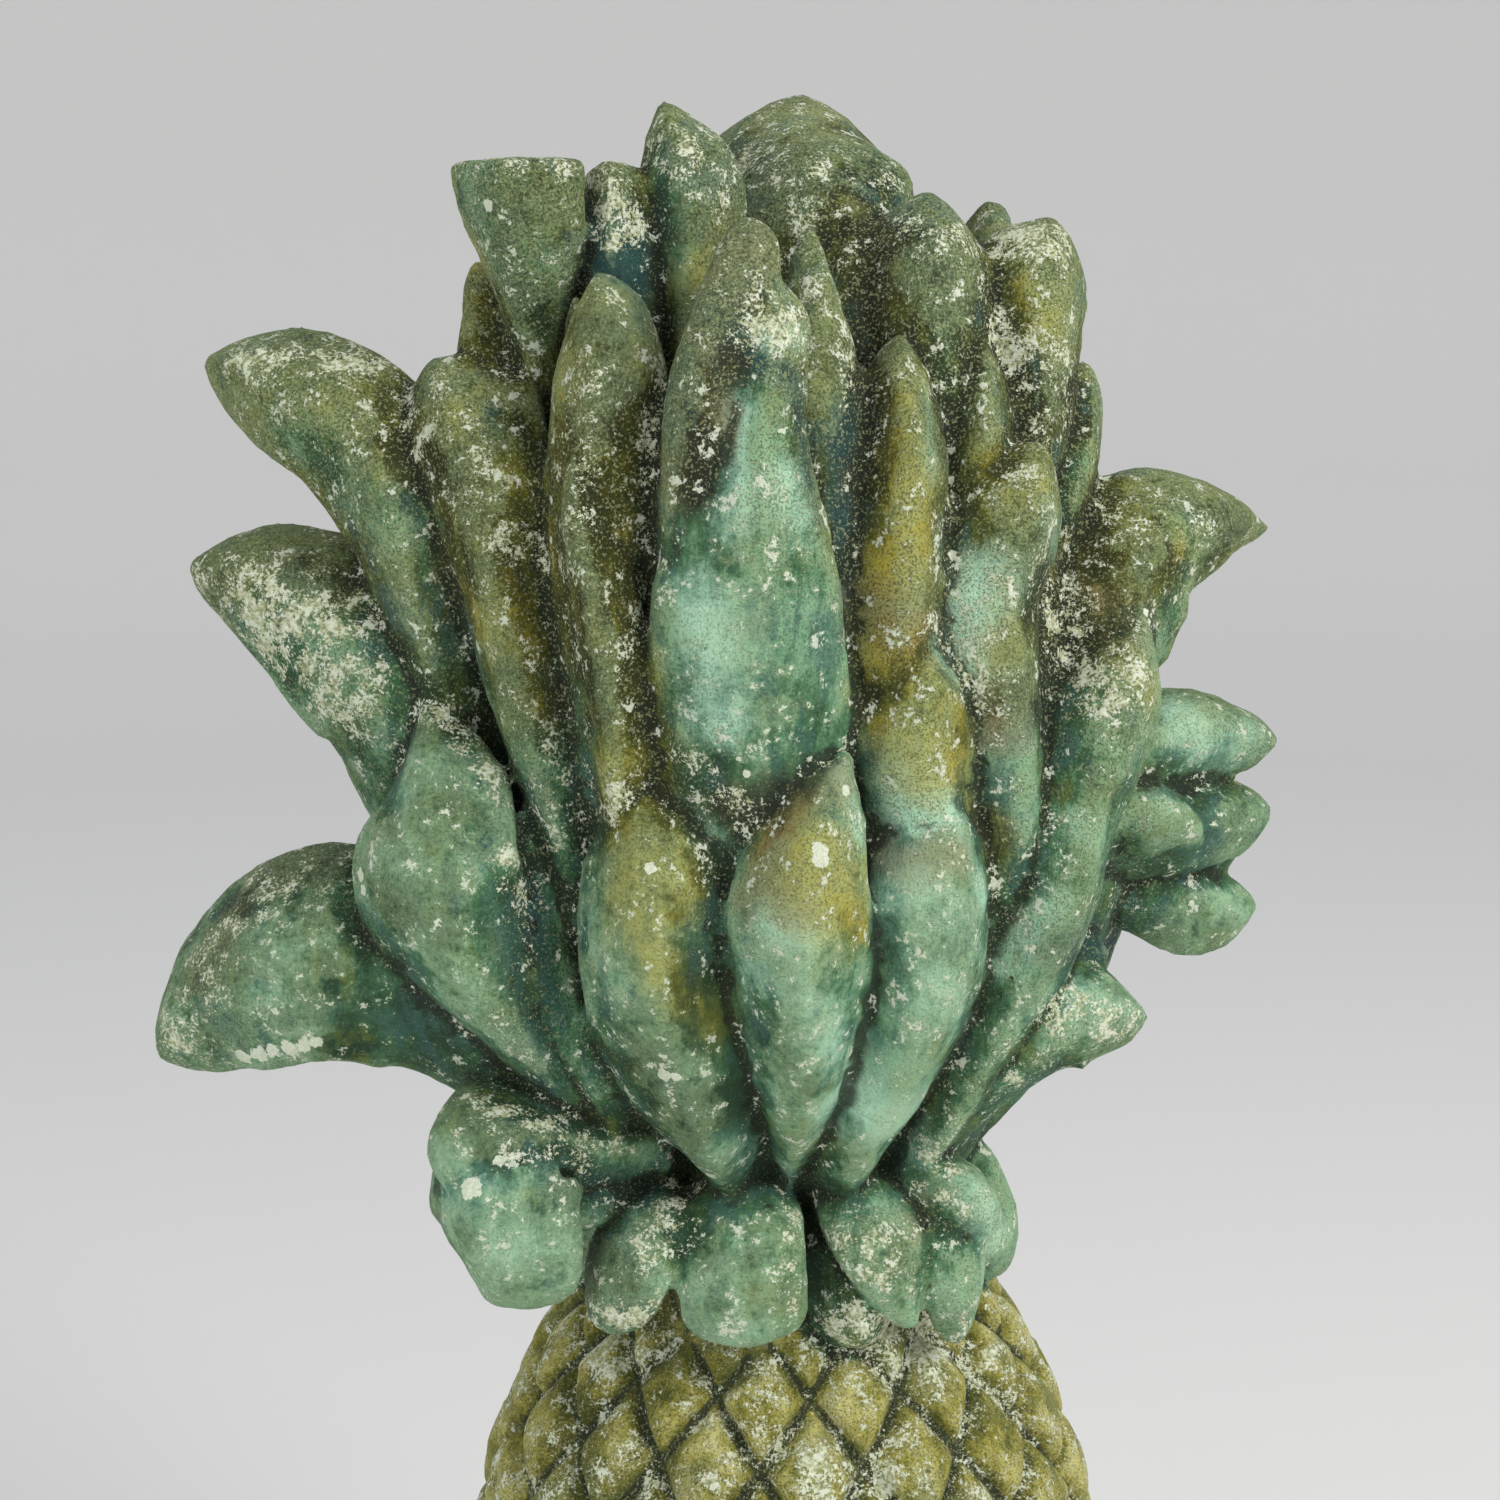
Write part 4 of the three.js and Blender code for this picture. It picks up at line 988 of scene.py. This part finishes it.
# grime and painted shade darken the grooves and the closed-in places
grimy_and_shaded = (layer("grime") * 1.1 + (blotches - 0.5) * 0.4 + (grain - 0.5) * 0.4).rise(0.25, 0.95)
body = (grimy_and_shaded * 0.85).tint(body, (26, 34, 20))

dark_dots = (pits + coarse * 0.06 + (blotches - 0.5) * 0.25).rise(0.52, 0.68)
body = (dark_dots * (0.25 + coarse * 0.45)).tint(body, (30, 34, 14))
pale_dots = (glints + coarse * 0.07).rise(0.62, 0.70)
body = (pale_dots * (0.15 + coarse * 0.4)).tint(body, (160, 166, 120))
clumped = (blotches - 0.5) * 0.9 + (patches - 0.5) * 0.5
crusty = (crumbs + lichen * 0.21 + coarse * 0.02 + clumped).rise(0.71, 0.75)
grey, cream, fresh = (150, 156, 116), (206, 210, 172), (234, 238, 218)
crust = grain.ramp((0.35, grey), (0.5, cream), (0.6, fresh))
body = (crusty * 0.9).tint(body, crust)

# A few thick dabs of white lichen, each (across, down, radius) in the picture
white_dabs = [
    (361, 875, 8), (363, 890, 7), (472, 1191, 13), (822, 855, 12), (818, 848, 7), (664, 1075, 8),
    (676, 1077, 6), (244, 1057, 11), (258, 1054, 12), (273, 1050, 11), (288, 1047, 11), (303, 1045, 10),
    (317, 1043, 9), (710, 1176, 7), (1146, 612, 6), (1149, 622, 5), (488, 205, 8), (551, 500, 6),
    (551, 540, 6), (952, 555, 6), (746, 774, 6), (1133, 1043, 10), (498, 1160, 6), (650, 868, 7),
    (846, 790, 7),
]
closeness = start.math("ADD", 0, 0)
for across, down, radius in white_dabs:
    spot = skin.ray_cast(eye, ray_through(across, down))[0]
    if spot is not None:
        ends = {0: where, 1: tuple(spot)}
        away = start.node("ShaderNodeVectorMath", {"operation": "DISTANCE"}, ends, output=1)
        closeness = start.math("MAXIMUM", closeness, 1 - away * (1 / (radius * pixel)))
white = (closeness + (blotches - 0.5) * 1.4 + (grain - 0.5) * 1.2).rise(0.18, 0.3)
body = (white * 0.9).tint(body, (222, 228, 206))

height = blotches * 1.2 + grain * 0.6 + crumbs * 0.4 + crusty * 0.3 - dark_dots * 0.3
bump = start.node("ShaderNodeBump", {}, {"Strength": 0.7, "Distance": 0.0011, "Height": height})
roughness = 0.68 + 0.2 * crusty + 0.12 * coarse

sockets = {"Base Color": body, "Roughness": roughness, "Normal": bump, "Specular IOR Level": 0.35}
shader = start.node("ShaderNodeBsdfPrincipled", {}, sockets)
output = tree.nodes.new("ShaderNodeOutputMaterial")
tree.links.new(shader.socket, output.inputs[0])
mesh.materials.clear()
mesh.materials.append(stone)
print("the finish has", len(tree.nodes), "nodes")

# %% Its place in the frame
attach(finial, "root")
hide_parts("pineapple_finial")
print("the finial rides on the root body")

# %% [markdown]
# ## Floor and light
#
# A pale bowl, flat in the middle and turned up all round, gives every camera the same plain ground without
# a horizon line. The light is soft: a broad panel from the upper right, a weaker one from the left, and a
# pale world around them.

# %% Floor
bowl_profile = [(0.01, 0), (2.4, 0), (2.8, 0.06), (3.1, 0.25), (3.3, 0.6), (3.4, 1.1), (3.4, 1.8)]
bowl_rings = np.stack([around(lathe_turns, radius, height) for radius, height in bowl_profile])
bowl_faces = [tuple(reversed(range(lathe_sides)))]
for ring in range(0, (len(bowl_profile) - 1) * lathe_sides, lathe_sides):
    for side in range(lathe_sides):
        near, beside = ring + side, ring + (side + 1) % lathe_sides
        bowl_faces.append((near, beside, beside + lathe_sides, near + lathe_sides))
floor = object_from("floor", bowl_rings.reshape(-1, 3), bowl_faces)
floor.data.polygons.foreach_set("use_smooth", [True] * len(floor.data.polygons))
plaster = bpy.data.materials.new("plaster")
plaster.use_nodes = True
chalk = plaster.node_tree.nodes["Principled BSDF"].inputs
chalk["Base Color"].default_value, chalk["Roughness"].default_value = (0.84, 0.83, 0.81, 1), 0.9
floor.data.materials.append(plaster)
print("the bowl is", 2 * bowl_profile[-1][0], "m across")

# %% Lights
def add_light(name, place, size, watts, colour):
    """An area light that looks at the finial."""
    lamp = bpy.data.lights.new(name, "AREA")
    lamp.size, lamp.energy, lamp.color = size, watts, colour
    made = bpy.data.objects.new(name, lamp)
    made.location = place
    made.rotation_euler = (Vector((0, 0, 0.35)) - Vector(place)).to_track_quat("-Z", "Y").to_euler()
    scene.collection.objects.link(made)


add_light("window", (1.1, -0.9, 1.3), 0.9, 22, (1.0, 0.99, 0.96))
add_light("fill", (-1.2, -1.1, 0.5), 1.2, 7, (0.94, 0.98, 1.0))
world = bpy.data.worlds.new("studio")
scene.world = world
world.use_nodes = True
sky = world.node_tree.nodes["Background"].inputs
sky["Color"].default_value, sky["Strength"].default_value = (0.93, 0.96, 1.0, 1), 0.62
scene.view_settings.view_transform = "Standard"
print("two panels and a pale world")
